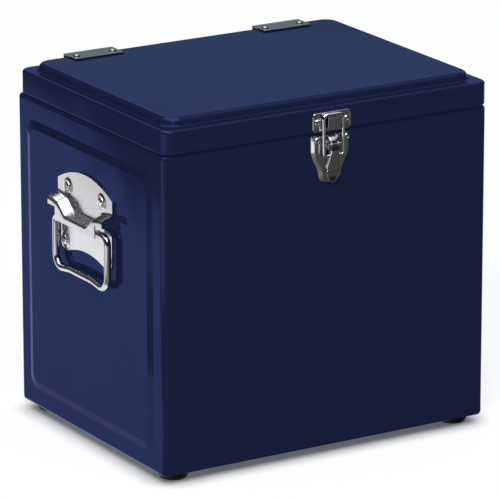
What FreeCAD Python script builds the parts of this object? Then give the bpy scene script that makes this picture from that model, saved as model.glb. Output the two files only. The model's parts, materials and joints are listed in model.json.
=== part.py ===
import FreeCAD, Part
import Sketcher
import math
import os

# Insulated metal cool box with a hinged lid, a draw latch and two drop handles.
# Millimetres. +X is the right side, -Y is the front, +Z is up.
# The pieces are drawn about the middle of the body; at the end they all move back a little,
# so that the origin is on the floor in the middle of the whole footprint, latch and hinges included.

Vector = FreeCAD.Vector
X_AXIS = Vector(1, 0, 0)
Y_AXIS = Vector(0, 1, 0)
Z_AXIS = Vector(0, 0, 1)

DIMENSIONS = {
    # body
    "footprint_shift": 2.525,
    "body_width": 360,
    "body_depth": 280,
    "body_height": 313,
    "body_corner": 6,
    "body_edge": 4,
    "steel": 0.8,
    "foot_height": 8,
    "foot_radius": 17,
    "foot_inset": 22,
    "emboss_height": 2,
    "emboss_slope": 8,
    "emboss_side": 20,
    "emboss_bottom": 19,
    "emboss_top": 21,
    "emboss_corner": 14,
    # compartment
    "cavity_width": 300,
    "cavity_depth": 220,
    "cavity_floor": 40,
    "cavity_corner": 22,
    "liner_wall": 2,
    "collar_margin": 4.5,
    # lid
    "lid_gap": 0.8,
    "skirt_height": 23.5,
    "lid_corner": 12,
    "lid_edge": 3,
    "lid_hem": 2,
    "lid_front_reach": 3.5,
    "lid_back_inset": 2.6,
    "panel_rise": 8.2,
    "panel_side_inset": 10,
    "panel_front_inset": 9,
    "panel_back_inset": 14,
    "panel_corner": 16,
    "panel_crown": 6,
    "plug_gap": 3,
    "plug_depth": 9.7,
    "gasket_height": 2.9,
    "gasket_width": 11,
    # hinges
    "hinge_spacing": 214,
    "hinge_width": 54,
    "hinge_sheet": 1.5,
    "hinge_reach": 21,
    "hinge_pin_radius": 2,
    "knuckle_radius": 3.6,
    "hinge_offset": 4.2,
    "hinge_leaf_drop": 33,
    "hinge_rivet_spacing": 40,
    # side handles
    "handle_sheet": 1.2,
    "handle_width": 104.4,
    "handle_shoulder": 257,
    "handle_arch": 14.2,
    "hood_depth": 11.6,
    "hood_end": 244.6,
    "hood_middle": 232.2,
    "hood_tip_drop": 12,
    "hood_crest_drop": 8.2,
    "hood_middle_width": 43,
    "hood_end_start": 69,
    "flap_bottom": 219.5,
    "flap_width": 77,
    "back_plate_width": 97.6,
    "waist_width": 60,
    "waist_low": 226,
    "lobe_radius": 8,
    "lobe_arch": 194.2,
    "bail_wire": 3.5,
    "bail_pivot_out": 6.5,
    "bail_pivot": 222,
    "bail_width": 100,
    "bail_low": 168.6,
    "bail_rise": 4.2,
    "bail_rise_width": 44,
    "bail_stub_gap": 60,
    # latch
    "latch_centre": 1.3,
    "latch_sheet": 1.2,
    "catch_width": 42.5,
    "catch_low": 322.3,
    "catch_height": 18.5,
    "base_top": 319,
    "base_width": 42,
    "base_length": 49,
    "base_neck": 13,
    "lever_pivot_out": 8.5,
    "lever_pivot": 309.5,
    "lever_lean": 14.8,
    "loop_pivot_out": 7.8,
    "loop_pivot": 298.5,
    "loop_bar_out": 6.7,
    "loop_bar": 338.2,
    "loop_wire": 1.7,
    "loop_width": 20.6,
    # fits and fasteners
    "play": 0.05,
    "rivet_head": 3.7,
    "rivet_shank": 2,
    "screw_head": 5.6,
    "screw_shank": 2.5,
    "screw_dome": 2.4,
    "screw_length": 10,
    "nut_size": 4.6,
    "nut_height": 3.2,
    "rivet_dome": 2,
    "rivet_tail": 1.8,
    "pin_radius": 1.5,
    "pin_length": 14,
    "pan_height": 6,
    "pan_edge": 1.5,
    "liner_foot": 12,
    "base_rim": 4,
    "upper_screw_y": 32.2,
    "upper_screw_z": 252.6,
    "lower_screw_y": 40.7,
    "lower_screw_z": 197.2,
    "leaf_rivet_drop": 24,
    "strap_rivet_inset": 10.5,
    "catch_rivet_spacing": 31,
    "catch_rivet_z": 331.7,
    "base_rivet_spacing": 31.2,
    "base_rivet_z": 314,
}

doc = FreeCAD.newDocument("cool_box")
sheet = doc.addObject("Spreadsheet::Sheet", "Dimensions")
for row, (alias, number) in enumerate(DIMENSIONS.items(), start=1):
    sheet.set(f"A{row}", alias)
    sheet.set(f"B{row}", str(number))
    sheet.setAlias(f"B{row}", alias)
doc.recompute()

subparts = []


class Length:
    """A number together with the formula that binds it to the sheet."""

    def __init__(self, number, formula):
        self.number = number
        self.formula = formula

    def __add__(self, other):
        other = as_length(other)
        return Length(self.number + other.number, f"({self.formula} + {other.formula})")

    def __sub__(self, other):
        other = as_length(other)
        return Length(self.number - other.number, f"({self.formula} - {other.formula})")

    def __mul__(self, factor):
        return Length(self.number * factor, f"({self.formula} * {factor})")

    def __neg__(self):
        return self * -1


def as_length(value):
    if isinstance(value, Length):
        return value
    return Length(float(value), f"({value})")


def dim(alias):
    """A dimension of the sheet, as a length that can be bound."""
    return Length(float(sheet.get(alias)), f"Dimensions.{alias}")


def bind(obj, prop, value):
    obj.setExpression(prop, as_length(value).formula)


def name_subpart(obj, label):
    obj.Label = label
    subparts.append(obj)
    return obj


def place(obj, x, y, z, rotation=None):
    """Put an object at a point whose coordinates are bound to the sheet."""
    if rotation is not None:
        obj.Placement = FreeCAD.Placement(Vector(), rotation)
    bind(obj, "Placement.Base.x", x)
    bind(obj, "Placement.Base.y", y)
    bind(obj, "Placement.Base.z", z)


def turn_to(direction):
    return FreeCAD.Rotation(Z_AXIS, direction)


# ---------------------------------------------------------------- levels and faces

half_width = dim("body_width") * 0.5
half_depth = dim("body_depth") * 0.5
body_low = dim("foot_height")
body_top = body_low + dim("body_height")
lid_low = body_top + dim("lid_gap")
tier_top = lid_low + dim("skirt_height")
lid_top = tier_top + dim("panel_rise")
lid_front = half_depth + dim("lid_front_reach")
lid_back = half_depth - dim("lid_back_inset")
panel_side = half_width - dim("panel_side_inset")
panel_front = half_depth - dim("panel_front_inset")
panel_back = half_depth - dim("panel_back_inset")
emboss_face = half_width + dim("emboss_height")
collar_low = body_top - dim("liner_wall")
hinge_pin_y = half_depth + dim("hinge_offset")
hinge_pin_z = body_top + 0.3


# ---------------------------------------------------------------- PartDesign helpers

def origin_plane(body, role):
    return next(o for o in body.Origin.OriginFeatures if o.Role == role)


def new_sketch(body, name, role, offset):
    """A sketch on one of the body's own origin planes, moved along its normal."""
    sketch = body.newObject("Sketcher::SketchObject", name)
    sketch.AttachmentSupport = [(origin_plane(body, role), "")]
    sketch.MapMode = "FlatFace"
    bind(sketch, "AttachmentOffset.Base.z", offset)
    return sketch


def rounded_rectangle(sketch, left, right, low, high, radius):
    """A rectangle with rounded corners, its four sides at bound coordinates."""
    left, right, low, high, radius = [as_length(v) for v in (left, right, low, high, radius)]
    x0, x1, y0, y1, r = left.number, right.number, low.number, high.number, radius.number
    corners = [(x1 - r, y0 + r, 270), (x1 - r, y1 - r, 0), (x0 + r, y1 - r, 90), (x0 + r, y0 + r, 180)]
    sides = [((x0 + r, y0), (x1 - r, y0)), ((x1, y0 + r), (x1, y1 - r)),
             ((x1 - r, y1), (x0 + r, y1)), ((x0, y1 - r), (x0, y0 + r))]
    for (start, end), (cx, cy, angle) in zip(sides, corners):
        sketch.addGeometry(Part.LineSegment(Vector(*start), Vector(*end)))
        circle = Part.Circle(Vector(cx, cy), Z_AXIS, r)
        sketch.addGeometry(Part.ArcOfCircle(circle, math.radians(angle), math.radians(angle + 90)))
    line = [0, 2, 4, 6]
    arc = [1, 3, 5, 7]
    for i in range(4):
        sketch.addConstraint(Sketcher.Constraint("Tangent", line[i], 2, arc[i], 1))
        sketch.addConstraint(Sketcher.Constraint("Tangent", arc[i], 2, line[(i + 1) % 4], 1))
    for i in (0, 2):
        sketch.addConstraint(Sketcher.Constraint("Horizontal", line[i]))
    for i in (1, 3):
        sketch.addConstraint(Sketcher.Constraint("Vertical", line[i]))
    for i in (1, 2, 3):
        sketch.addConstraint(Sketcher.Constraint("Equal", arc[0], arc[i]))
    bound = [("DistanceX", line[3], left), ("DistanceX", line[1], right),
             ("DistanceY", line[0], low), ("DistanceY", line[2], high)]
    for kind, geometry, value in bound:
        index = sketch.addConstraint(Sketcher.Constraint(kind, -1, 1, geometry, 1, value.number))
        bind(sketch, f"Constraints[{index}]", value)
    index = sketch.addConstraint(Sketcher.Constraint("Radius", arc[0], r))
    bind(sketch, f"Constraints[{index}]", radius)


def slab(body, name, left, right, front, back, low, height, radius):
    """A block with rounded upright corners, added to the body."""
    sketch = new_sketch(body, name + "_outline", "XY_Plane", low)
    rounded_rectangle(sketch, left, right, front, back, radius)
    pad = body.newObject("PartDesign::Pad", name)
    pad.Profile = sketch
    bind(pad, "Length", height)
    body.Tip = pad
    doc.recompute()
    return pad


def pocket(body, name, left, right, front, back, top, depth, radius):
    """A pocket with rounded upright corners, cut down from a level."""
    sketch = new_sketch(body, name + "_outline", "XY_Plane", top)
    rounded_rectangle(sketch, left, right, front, back, radius)
    before = body.Shape.Volume
    cut = body.newObject("PartDesign::Pocket", name)
    cut.Profile = sketch
    bind(cut, "Length", depth)
    body.Tip = cut
    doc.recompute()
    if not body.Shape.Volume < before:
        raise RuntimeError(f"{name} cuts nothing")
    return cut


def edges_at(shape, level, tolerance=0.01):
    """Names of the edges that lie wholly at one height."""
    names = []
    for number, edge in enumerate(shape.Edges, start=1):
        box = edge.BoundBox
        if abs(box.ZMin - level) < tolerance and abs(box.ZMax - level) < tolerance:
            names.append(f"Edge{number}")
    return names


def faces_at(shape, levels, tolerance=0.01):
    names = []
    for number, face in enumerate(shape.Faces, start=1):
        box = face.BoundBox
        flat = abs(box.ZMax - box.ZMin) < tolerance
        if flat and any(abs(box.ZMin - level) < tolerance for level in levels):
            names.append(f"Face{number}")
    return names


def fillet(body, name, base, edges, radius):
    feature = body.newObject("PartDesign::Fillet", name)
    feature.Base = (base, edges)
    bind(feature, "Radius", radius)
    body.Tip = feature
    doc.recompute()
    return feature


def hollow(body, name, base, faces, wall):
    """Turn a solid into sheet of one thickness, open at the given faces."""
    feature = body.newObject("PartDesign::Thickness", name)
    feature.Base = (base, faces)
    feature.Reversed = True
    feature.Mode = 0
    feature.Join = 0
    bind(feature, "Value", wall)
    body.Tip = feature
    doc.recompute()
    return feature


# ---------------------------------------------------------------- Part helpers

def cylinder(name, radius, length, x, y, z, direction):
    """A cylinder that starts at a point and runs along a direction."""
    obj = doc.addObject("Part::Cylinder", name)
    bind(obj, "Radius", radius)
    bind(obj, "Height", length)
    place(obj, x, y, z, turn_to(direction))
    return obj


def group(name, members):
    obj = doc.addObject("Part::Compound", name)
    obj.Links = members
    return obj


def fuse(name, members):
    obj = doc.addObject("Part::MultiFuse", name)
    obj.Shapes = members
    return obj


def cut_away(name, base, tools):
    """Cut separate tools from a base."""
    obj = doc.addObject("Part::Cut", name)
    obj.Base = base
    obj.Tool = group(name + "_tools", tools) if len(tools) > 1 else tools[0]
    return obj


def carve(name, base, tools):
    """Cut tools that may overlap one another from a base, one after another."""
    for number, tool in enumerate(tools):
        step = doc.addObject("Part::Cut", f"{name}_{number}")
        step.Base = base
        step.Tool = tool
        base = step
    return base


def formed(label, shape, placement=None):
    """A sub-part whose shape is built from the sheet's sizes."""
    obj = doc.addObject("Part::Feature", label)
    obj.Shape = shape
    if placement is not None:
        obj.Placement = placement
    return name_subpart(obj, label)


def solid_from(points, direction):
    """A prism from a closed outline and an extrusion vector."""
    return Part.Face(Part.makePolygon(points + points[:1])).extrude(direction)


def outline_face(steps):
    """A flat face from steps: a point ends a line; a pair (middle, end) ends an arc."""
    edges = []
    start = steps[0]
    here = start
    for step in steps[1:] + [start]:
        if isinstance(step, tuple):
            middle, end = step
            edges.append(Part.Arc(here, middle, end).toShape())
        else:
            end = step
            edges.append(Part.LineSegment(here, end).toShape())
        here = end
    return Part.Face(Part.Wire(edges))


def bent_path(points, radii):
    """Edges of a bent rod: straight lengths joined by arcs of the given radii."""
    edges = []
    here = points[0]
    for before, corner, after, radius in zip(points, points[1:], points[2:], radii):
        inward = (before - corner).normalize()
        outward = (after - corner).normalize()
        half_angle = inward.getAngle(outward) / 2
        reach = radius / math.tan(half_angle)
        start = corner + inward * reach
        end = corner + outward * reach
        bisector = (inward + outward).normalize()
        middle = corner + bisector * (radius / math.sin(half_angle) - radius)
        edges.append(Part.LineSegment(here, start).toShape())
        edges.append(Part.Arc(start, middle, end).toShape())
        here = end
    edges.append(Part.LineSegment(here, points[-1]).toShape())
    return edges


def bent_rod(points, radii, radius):
    """A round rod that follows a bent path."""
    path = Part.Wire(bent_path(points, radii))
    circle = Part.Wire(Part.Circle(points[0], points[1] - points[0], radius).toShape())
    return path.makePipeShell([circle], True, True)


def strip_outline(points, thickness):
    """Closed outline of a strip whose middle line runs through the points (in YZ)."""
    sides = []
    for sign in (1, -1):
        side = []
        for i, point in enumerate(points):
            near = []
            if i > 0:
                near.append((point - points[i - 1]).normalize())
            if i < len(points) - 1:
                near.append((points[i + 1] - point).normalize())
            normals = [Vector(0, -d.z, d.y) for d in near]
            mean = normals[0] if len(normals) == 1 else (normals[0] + normals[1]).normalize()
            side.append(point + mean * (sign * thickness / 2 / mean.dot(normals[0])))
        sides.append(side)
    return sides[0] + sides[1][::-1]


def rod_solid(radius, start, end):
    return Part.makeCylinder(radius, (end - start).Length, start, end - start)


# ---------------------------------------------------------------- fastener positions

SIDES = {"left": -1, "right": 1}
UPPER_SCREW = (dim("upper_screw_y"), dim("upper_screw_z"))
LOWER_SCREW = (dim("lower_screw_y"), dim("lower_screw_z"))
handle_screws = [(y * sign, z) for y, z in (UPPER_SCREW, LOWER_SCREW) for sign in (-1, 1)]
hinge_x = {name: dim("hinge_spacing") * (0.5 * sign) for name, sign in SIDES.items()}
hinge_rivet_x = [x + dim("hinge_rivet_spacing") * (0.5 * sign) for x in hinge_x.values() for sign in (-1, 1)]
leaf_rivet_z = body_top - dim("leaf_rivet_drop")
strap_rivet_y = panel_back - dim("strap_rivet_inset")
catch_rivet_x = [dim("latch_centre") + dim("catch_rivet_spacing") * (0.5 * sign) for sign in (-1, 1)]
base_rivet_x = [dim("latch_centre") + dim("base_rivet_spacing") * (0.5 * sign) for sign in (-1, 1)]
foot_places = {
    f"{end}_{side}": ((half_width - dim("foot_inset")) * sx, (half_depth - dim("foot_inset")) * sy)
    for side, sx in SIDES.items() for end, sy in (("front", -1), ("back", 1))
}
RIVET_HOLE = dim("rivet_shank") + dim("play")
SCREW_HOLE = dim("screw_shank") + dim("play")


def holes(name, radius, depth, spots, direction):
    """One cutter for each spot."""
    return [cylinder(f"{name}_{n}", radius, depth, x, y, z, direction) for n, (x, y, z) in enumerate(spots)]


def rivets(label, spots, direction, grip):
    """Blind rivets: a dome outside, a shank through the sheets and a set head inside.

    Each spot lies on the outer face of the sheets; grip is how far the inside face is.
    """
    members = []
    turn = turn_to(direction)
    for number, (x, y, z) in enumerate(spots):
        name = f"{label}_{number}"
        dome = doc.addObject("Part::Ellipsoid", name + "_dome")
        dome.Angle1 = 0
        bind(dome, "Radius1", dim("rivet_dome"))
        bind(dome, "Radius2", dim("rivet_head"))
        bind(dome, "Radius3", dim("rivet_head"))
        place(dome, x, y, z, turn)
        shank = cylinder(name + "_shank", dim("rivet_shank"), grip + dim("rivet_tail"), x, y, z, -direction)
        inside = [as_length(v) - grip * axis for v, axis in zip((x, y, z), direction)]
        tail = cylinder(name + "_tail", dim("rivet_head") - 0.5, dim("rivet_tail"), *inside, -direction)
        members.append(fuse(name, [dome, shank, tail]))
    return name_subpart(group(label + "_set", members), label)


# ---------------------------------------------------------------- body

def wrapper_block(name, inset):
    """The wrapper as a solid block, its faces moved inwards by the inset."""
    body = doc.addObject("PartDesign::Body", name)
    block = slab(body, name + "_block", inset - half_width, half_width - inset,
                 inset - half_depth, half_depth - inset,
                 body_low + inset, dim("body_height") - inset * 2, dim("body_corner") - inset)
    flat = [f"Edge{n}" for n, edge in enumerate(block.Shape.Edges, start=1) if edge.BoundBox.ZLength < 0.01]
    fillet(body, name + "_rims", block, flat, dim("body_edge") - inset)
    for side, sign in SIDES.items():
        sections = []
        for step, slope in enumerate((as_length(0), dim("emboss_slope"))):
            offset = (half_width - inset + dim("emboss_height") * step) * sign
            sketch = new_sketch(body, f"{name}_emboss_{side}_{step}", "YZ_Plane", offset)
            front = half_depth - dim("emboss_side") - slope
            rounded_rectangle(sketch, -front, front,
                              body_low + dim("emboss_bottom") + slope,
                              body_top - dim("emboss_top") - slope,
                              dim("emboss_corner") - slope * 0.5)
            sections.append(sketch)
        loft = body.newObject("PartDesign::AdditiveLoft", f"{name}_emboss_{side}")
        loft.Profile = sections[0]
        loft.Sections = sections[1:]
        body.Tip = loft
        doc.recompute()
    return body


def make_body_shell():
    """Steel wrapper with rolled rims, an embossed panel on each side, open top and bottom."""
    outside = wrapper_block("wrapper", as_length(0))
    inside = wrapper_block("wrapper_inside", dim("steel"))
    opening = doc.addObject("PartDesign::Body", "wrapper_openings")
    rim_x = half_width - dim("body_edge")
    rim_y = half_depth - dim("body_edge")
    slab(opening, "rim_opening", -rim_x, rim_x, -rim_y, rim_y, body_low - 1, dim("body_height") + 2,
         dim("body_corner") - dim("body_edge"))
    tools = [inside, opening]
    for sign in SIDES.values():
        tools += holes(f"handle_hole_{sign}", SCREW_HOLE, dim("emboss_height") + 8,
                       [((emboss_face + 4) * sign, y, z) for y, z in handle_screws], X_AXIS * -sign)
    tools += holes("base_hole", RIVET_HOLE, 8,
                   [(x, -(half_depth + 4), dim("base_rivet_z")) for x in base_rivet_x], Y_AXIS)
    tools += holes("leaf_hole", RIVET_HOLE, 8,
                   [(x, half_depth + 4, leaf_rivet_z) for x in hinge_rivet_x], -Y_AXIS)
    name_subpart(carve("wrapper_sheet", outside, tools), "body_shell")


def make_base_pan():
    """Shallow steel tray that closes the bottom of the wrapper."""
    body = doc.addObject("PartDesign::Body", "base_tray")
    across = half_width - dim("collar_margin")
    deep = half_depth - dim("collar_margin")
    tray = slab(body, "tray", -across, across, -deep, deep, body_low, dim("pan_height"), dim("body_edge"))
    rounded = fillet(body, "tray_edge", tray, edges_at(tray.Shape, body_low.number), dim("pan_edge"))
    open_top = faces_at(body.Shape, [(body_low + dim("pan_height")).number])
    hollow(body, "tray_sheet", rounded, open_top, dim("steel"))
    spots = [(x, y, body_low - 2) for x, y in foot_places.values()]
    name_subpart(cut_away("tray_drilled", body, holes("pan_hole", RIVET_HOLE, 6, spots, Z_AXIS)), "base_pan")


def make_body_insulation():
    """Foam between the wrapper and the liner, relieved round every fastener."""
    body = doc.addObject("PartDesign::Body", "foam_block")
    margin = dim("steel") + 0.7
    foot_x = half_width - dim("collar_margin") - dim("steel") - 1
    foot_y = half_depth - dim("collar_margin") - dim("steel") - 1
    foam_low = body_low + dim("pan_height") + 0.3
    slab(body, "foam_foot", -foot_x, foot_x, -foot_y, foot_y,
         body_low + dim("steel") + 0.5, dim("pan_height") + 0.5, 5)
    slab(body, "foam_main", margin - half_width, half_width - margin, margin - half_depth,
         half_depth - margin, foam_low, collar_low - foam_low - 0.2, 5)
    liner_x = dim("cavity_width") * 0.5 + dim("liner_wall") + 0.3
    liner_y = dim("cavity_depth") * 0.5 + dim("liner_wall") + 0.3
    liner_low = dim("cavity_floor") - dim("liner_wall") - 0.3
    pocket(body, "foam_cavity", -liner_x, liner_x, -liner_y, liner_y, collar_low, collar_low - liner_low,
           dim("cavity_corner") + dim("liner_wall"))
    relief = dim("rivet_head") + 1
    tools = holes("nut_relief_left", dim("nut_size") + 1, 12,
                  [(-half_width, y, z) for y, z in handle_screws], X_AXIS)
    tools += holes("nut_relief_right", dim("nut_size") + 1, 12,
                   [(half_width, y, z) for y, z in handle_screws], -X_AXIS)
    tools += holes("base_relief", relief, 5,
                   [(x, -half_depth, dim("base_rivet_z")) for x in base_rivet_x], Y_AXIS)
    tools += holes("leaf_relief", relief, 5, [(x, half_depth, leaf_rivet_z) for x in hinge_rivet_x], -Y_AXIS)
    tools += holes("foot_relief", relief, 12, [(x, y, body_low) for x, y in foot_places.values()], Z_AXIS)
    name_subpart(cut_away("foam_relieved", body, tools), "body_insulation")


def make_inner_liner():
    """Moulded tub with a collar that covers the foam between the walls."""
    body = doc.addObject("PartDesign::Body", "tub")
    wall = dim("liner_wall")
    inner_x = dim("cavity_width") * 0.5
    inner_y = dim("cavity_depth") * 0.5
    tub_low = dim("cavity_floor") - wall
    outer_radius = dim("cavity_corner") + wall
    slab(body, "tub_block", -(inner_x + wall), inner_x + wall, -(inner_y + wall), inner_y + wall,
         tub_low, collar_low - tub_low, outer_radius)
    across = half_width - dim("collar_margin")
    deep = half_depth - dim("collar_margin")
    slab(body, "collar", -across, across, -deep, deep, collar_low, wall, dim("body_edge"))
    cavity = pocket(body, "compartment", -inner_x, inner_x, -inner_y, inner_y, body_top,
                    body_top - dim("cavity_floor"), dim("cavity_corner"))
    foot = fillet(body, "compartment_foot", cavity, edges_at(cavity.Shape, dim("cavity_floor").number),
                  dim("liner_foot"))
    fillet(body, "tub_foot", foot, edges_at(foot.Shape, tub_low.number), dim("liner_foot") + wall)
    name_subpart(body, "inner_liner")


def make_feet():
    """Tapered rubber feet, each held by a screw sunk in its underside."""
    screws = []
    for name, (x, y) in foot_places.items():
        cone = doc.addObject("Part::Cone", f"foot_cone_{name}")
        bind(cone, "Radius1", dim("foot_radius") - 2)
        bind(cone, "Radius2", dim("foot_radius"))
        bind(cone, "Height", dim("foot_height"))
        place(cone, x, y, 0)
        middle = dim("foot_height") * 0.5
        shank_hole = cylinder(f"foot_hole_{name}", RIVET_HOLE, dim("foot_height") + 2, x, y, -1, Z_AXIS)
        recess = cylinder(f"foot_recess_{name}", dim("rivet_head") + 1, middle + 1, x, y, -1, Z_AXIS)
        name_subpart(cut_away(f"foot_bored_{name}", cone, [shank_hole, recess]), f"rubber_foot_{name}")
        head_low = middle - 2
        head = cylinder(f"foot_screw_head_{name}", dim("rivet_head"), 2, x, y, head_low, Z_AXIS)
        shank = cylinder(f"foot_screw_shank_{name}", dim("rivet_shank"), dim("foot_height") + 4,
                         x, y, head_low, Z_AXIS)
        screws.append(fuse(f"foot_screw_{name}", [head, shank]))
    name_subpart(group("foot_screw_set", screws), "foot_screws")


# ---------------------------------------------------------------- lid

def lid_block(name, inset):
    """The lid as a solid block, its faces moved inwards by the inset."""
    body = doc.addObject("PartDesign::Body", name)
    skirt = slab(body, name + "_skirt", inset - half_width, half_width - inset,
                 inset - lid_front, lid_back - inset, lid_low + inset,
                 dim("skirt_height") - inset * 2, dim("lid_corner") - inset)
    hem_edges = edges_at(skirt.Shape, (lid_low + inset).number)
    fillet(body, name + "_hem", skirt, hem_edges, dim("lid_hem") - inset)
    panel = slab(body, name + "_panel", inset - panel_side, panel_side - inset,
                 inset - panel_front, panel_back - inset,
                 tier_top - inset, dim("panel_rise"), dim("panel_corner") - inset)
    level = (tier_top - inset).number
    outer = [edge for edge in edges_at(panel.Shape, level) if beyond_panel(panel.Shape, edge)]
    tier = fillet(body, name + "_tier", panel, outer, dim("lid_edge") - inset)
    inner = [edge for edge in edges_at(tier.Shape, level) if not beyond_panel(tier.Shape, edge)]
    step = fillet(body, name + "_step", tier, inner, dim("lid_hem") + inset)
    crown_edges = edges_at(step.Shape, (lid_top - inset).number)
    fillet(body, name + "_crown", step, crown_edges, dim("panel_crown") - inset)
    return body


def beyond_panel(shape, edge_name):
    """Whether an edge at the step's level lies outside the raised panel."""
    middle = shape.getElement(edge_name).CenterOfMass
    margin = 2
    beside = abs(middle.x) > panel_side.number + margin
    return beside or not -panel_front.number - margin < middle.y < panel_back.number + margin


def make_lid_shell():
    """Pressed steel lid: a skirt, a step and a raised panel, open underneath."""
    outside = lid_block("lid", as_length(0))
    inside = lid_block("lid_inside", dim("steel"))
    opening = doc.addObject("PartDesign::Body", "lid_opening")
    hem = dim("lid_hem")
    slab(opening, "hem_opening", hem - half_width, half_width - hem, hem - lid_front, lid_back - hem,
         lid_low - 1, hem + 2, dim("lid_corner") - hem)
    tools = [inside, opening]
    tools += holes("strap_hole", RIVET_HOLE, 8,
                   [(x, strap_rivet_y, lid_top + 4) for x in hinge_rivet_x], -Z_AXIS)
    tools += holes("catch_hole", RIVET_HOLE, 8,
                   [(x, -(lid_front + 4), dim("catch_rivet_z")) for x in catch_rivet_x], Y_AXIS)
    name_subpart(carve("lid_sheet", outside, tools), "lid_shell")


def make_lid_insulation():
    """Foam that fills the lid and its plug."""
    body = doc.addObject("PartDesign::Body", "lid_foam")
    gap = dim("steel") + 1
    low = lid_low + dim("gasket_height") + dim("steel") + 0.9
    slab(body, "foam_tier", gap - half_width, half_width - gap, gap - lid_front, lid_back - gap,
         low, tier_top - low - gap, dim("lid_corner") - gap)
    crown_gap = dim("panel_crown") * 0.5 + 0.3
    slab(body, "foam_panel", crown_gap - panel_side, panel_side - crown_gap,
         crown_gap - panel_front, panel_back - crown_gap,
         tier_top - gap, dim("panel_rise"), dim("panel_corner") - crown_gap)
    plug_x = dim("cavity_width") * 0.5 - dim("plug_gap") - dim("liner_wall") - 0.5
    plug_y = dim("cavity_depth") * 0.5 - dim("plug_gap") - dim("liner_wall") - 0.5
    plug_low = body_top - dim("plug_depth") + dim("liner_wall") + 0.3
    slab(body, "foam_plug", -plug_x, plug_x, -plug_y, plug_y, plug_low, low - plug_low, 18)
    relief = dim("rivet_head") + 1
    tools = holes("strap_relief", relief, 5,
                  [(x, strap_rivet_y, lid_top) for x in hinge_rivet_x], -Z_AXIS)
    tools += holes("catch_relief", relief, 5,
                   [(x, -lid_front, dim("catch_rivet_z")) for x in catch_rivet_x], Y_AXIS)
    name_subpart(cut_away("lid_foam_relieved", body, tools), "lid_insulation")


def make_lid_liner():
    """Moulded inner panel of the lid, with a shallow plug that enters the compartment."""
    body = doc.addObject("PartDesign::Body", "lid_tray")
    wall = dim("liner_wall")
    flange_low = body_top + dim("gasket_height") + 0.2
    margin = dim("collar_margin") - 1
    slab(body, "flange", margin - half_width, half_width - margin, margin - lid_front, lid_back - margin,
         flange_low, 1.5, 9)
    plug_x = dim("cavity_width") * 0.5 - dim("plug_gap")
    plug_y = dim("cavity_depth") * 0.5 - dim("plug_gap")
    plug_low = body_top - dim("plug_depth")
    plug = slab(body, "plug", -plug_x, plug_x, -plug_y, plug_y, plug_low, flange_low - plug_low,
                dim("cavity_corner") - dim("plug_gap"))
    fillet(body, "plug_edge", plug, edges_at(plug.Shape, plug_low.number), wall)
    top = flange_low + 1.5
    pocket(body, "plug_hollow", wall - plug_x, plug_x - wall, wall - plug_y, plug_y - wall, top,
           top - plug_low - wall, dim("cavity_corner") - dim("plug_gap") - wall)
    name_subpart(body, "lid_liner")


def make_lid_gasket():
    """Rubber ring under the lid that closes on the collar of the tub."""
    body = doc.addObject("PartDesign::Body", "seal_ring")
    inner_x = dim("cavity_width") * 0.5 + 1
    inner_y = dim("cavity_depth") * 0.5 + 1
    width = dim("gasket_width")
    low = body_top + 0.15
    slab(body, "seal_block", -(inner_x + width), inner_x + width, -(inner_y + width), inner_y + width,
         low, dim("gasket_height"), dim("cavity_corner") + width)
    pocket(body, "seal_opening", -inner_x, inner_x, -inner_y, inner_y, low + dim("gasket_height"),
           dim("gasket_height"), dim("cavity_corner"))
    name_subpart(body, "lid_gasket")


# ---------------------------------------------------------------- hinges

def hinge_shapes():
    """The strap on the lid and the leaf on the body, centred on x = 0."""
    sheet_thickness = dim("hinge_sheet").number
    half = sheet_thickness / 2
    width = dim("hinge_width").number
    play = dim("play").number
    outer = dim("knuckle_radius").number
    bore = dim("hinge_pin_radius").number + play
    pin_y, pin_z = hinge_pin_y.number, hinge_pin_z.number
    top = lid_top.number + play + half
    behind_panel = panel_back.number + 2 + half
    over_tier = tier_top.number + play + half
    behind_lid = lid_back.number + play + half
    tail_top = lid_low.number + 5.5
    front = panel_back.number - dim("hinge_reach").number
    third = width * 0.43
    lift = outer - half

    def barrel(start, end, radius):
        return Part.makeCylinder(radius, end - start, Vector(start, pin_y, pin_z), X_AXIS)

    def strip(points, across):
        outline = strip_outline([Vector(-across / 2, y, z) for y, z in points], sheet_thickness)
        return solid_from(outline, X_AXIS * across)

    strap = strip([(front, top), (behind_panel, top), (behind_panel, over_tier),
                   (behind_lid, over_tier), (behind_lid, tail_top)], width)
    tail = strip([(behind_lid, tail_top + 2), (behind_lid, tail_top), (pin_y - 4.2, pin_z + lift),
                  (pin_y, pin_z + lift)], third)
    strap = strap.fuse([tail, barrel(-third / 2, third / 2, outer)])
    strap = strap.cut(barrel(-width, width, bore)).removeSplitter()

    leaf_y = half_depth.number + play + half
    leaf = strip([(leaf_y, body_top.number - dim("hinge_leaf_drop").number), (leaf_y, pin_z)], width)
    gap = third / 2 + 0.4
    window = Part.makeBox(2 * gap, 20, 20, Vector(-gap, leaf_y - 10, pin_z - outer - 1))
    leaf = leaf.cut(window)
    leaf = leaf.fuse([barrel(-width / 2, -gap, outer), barrel(gap, width / 2, outer)])
    leaf = leaf.cut(barrel(-width, width, bore)).removeSplitter()
    return strap, leaf


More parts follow.
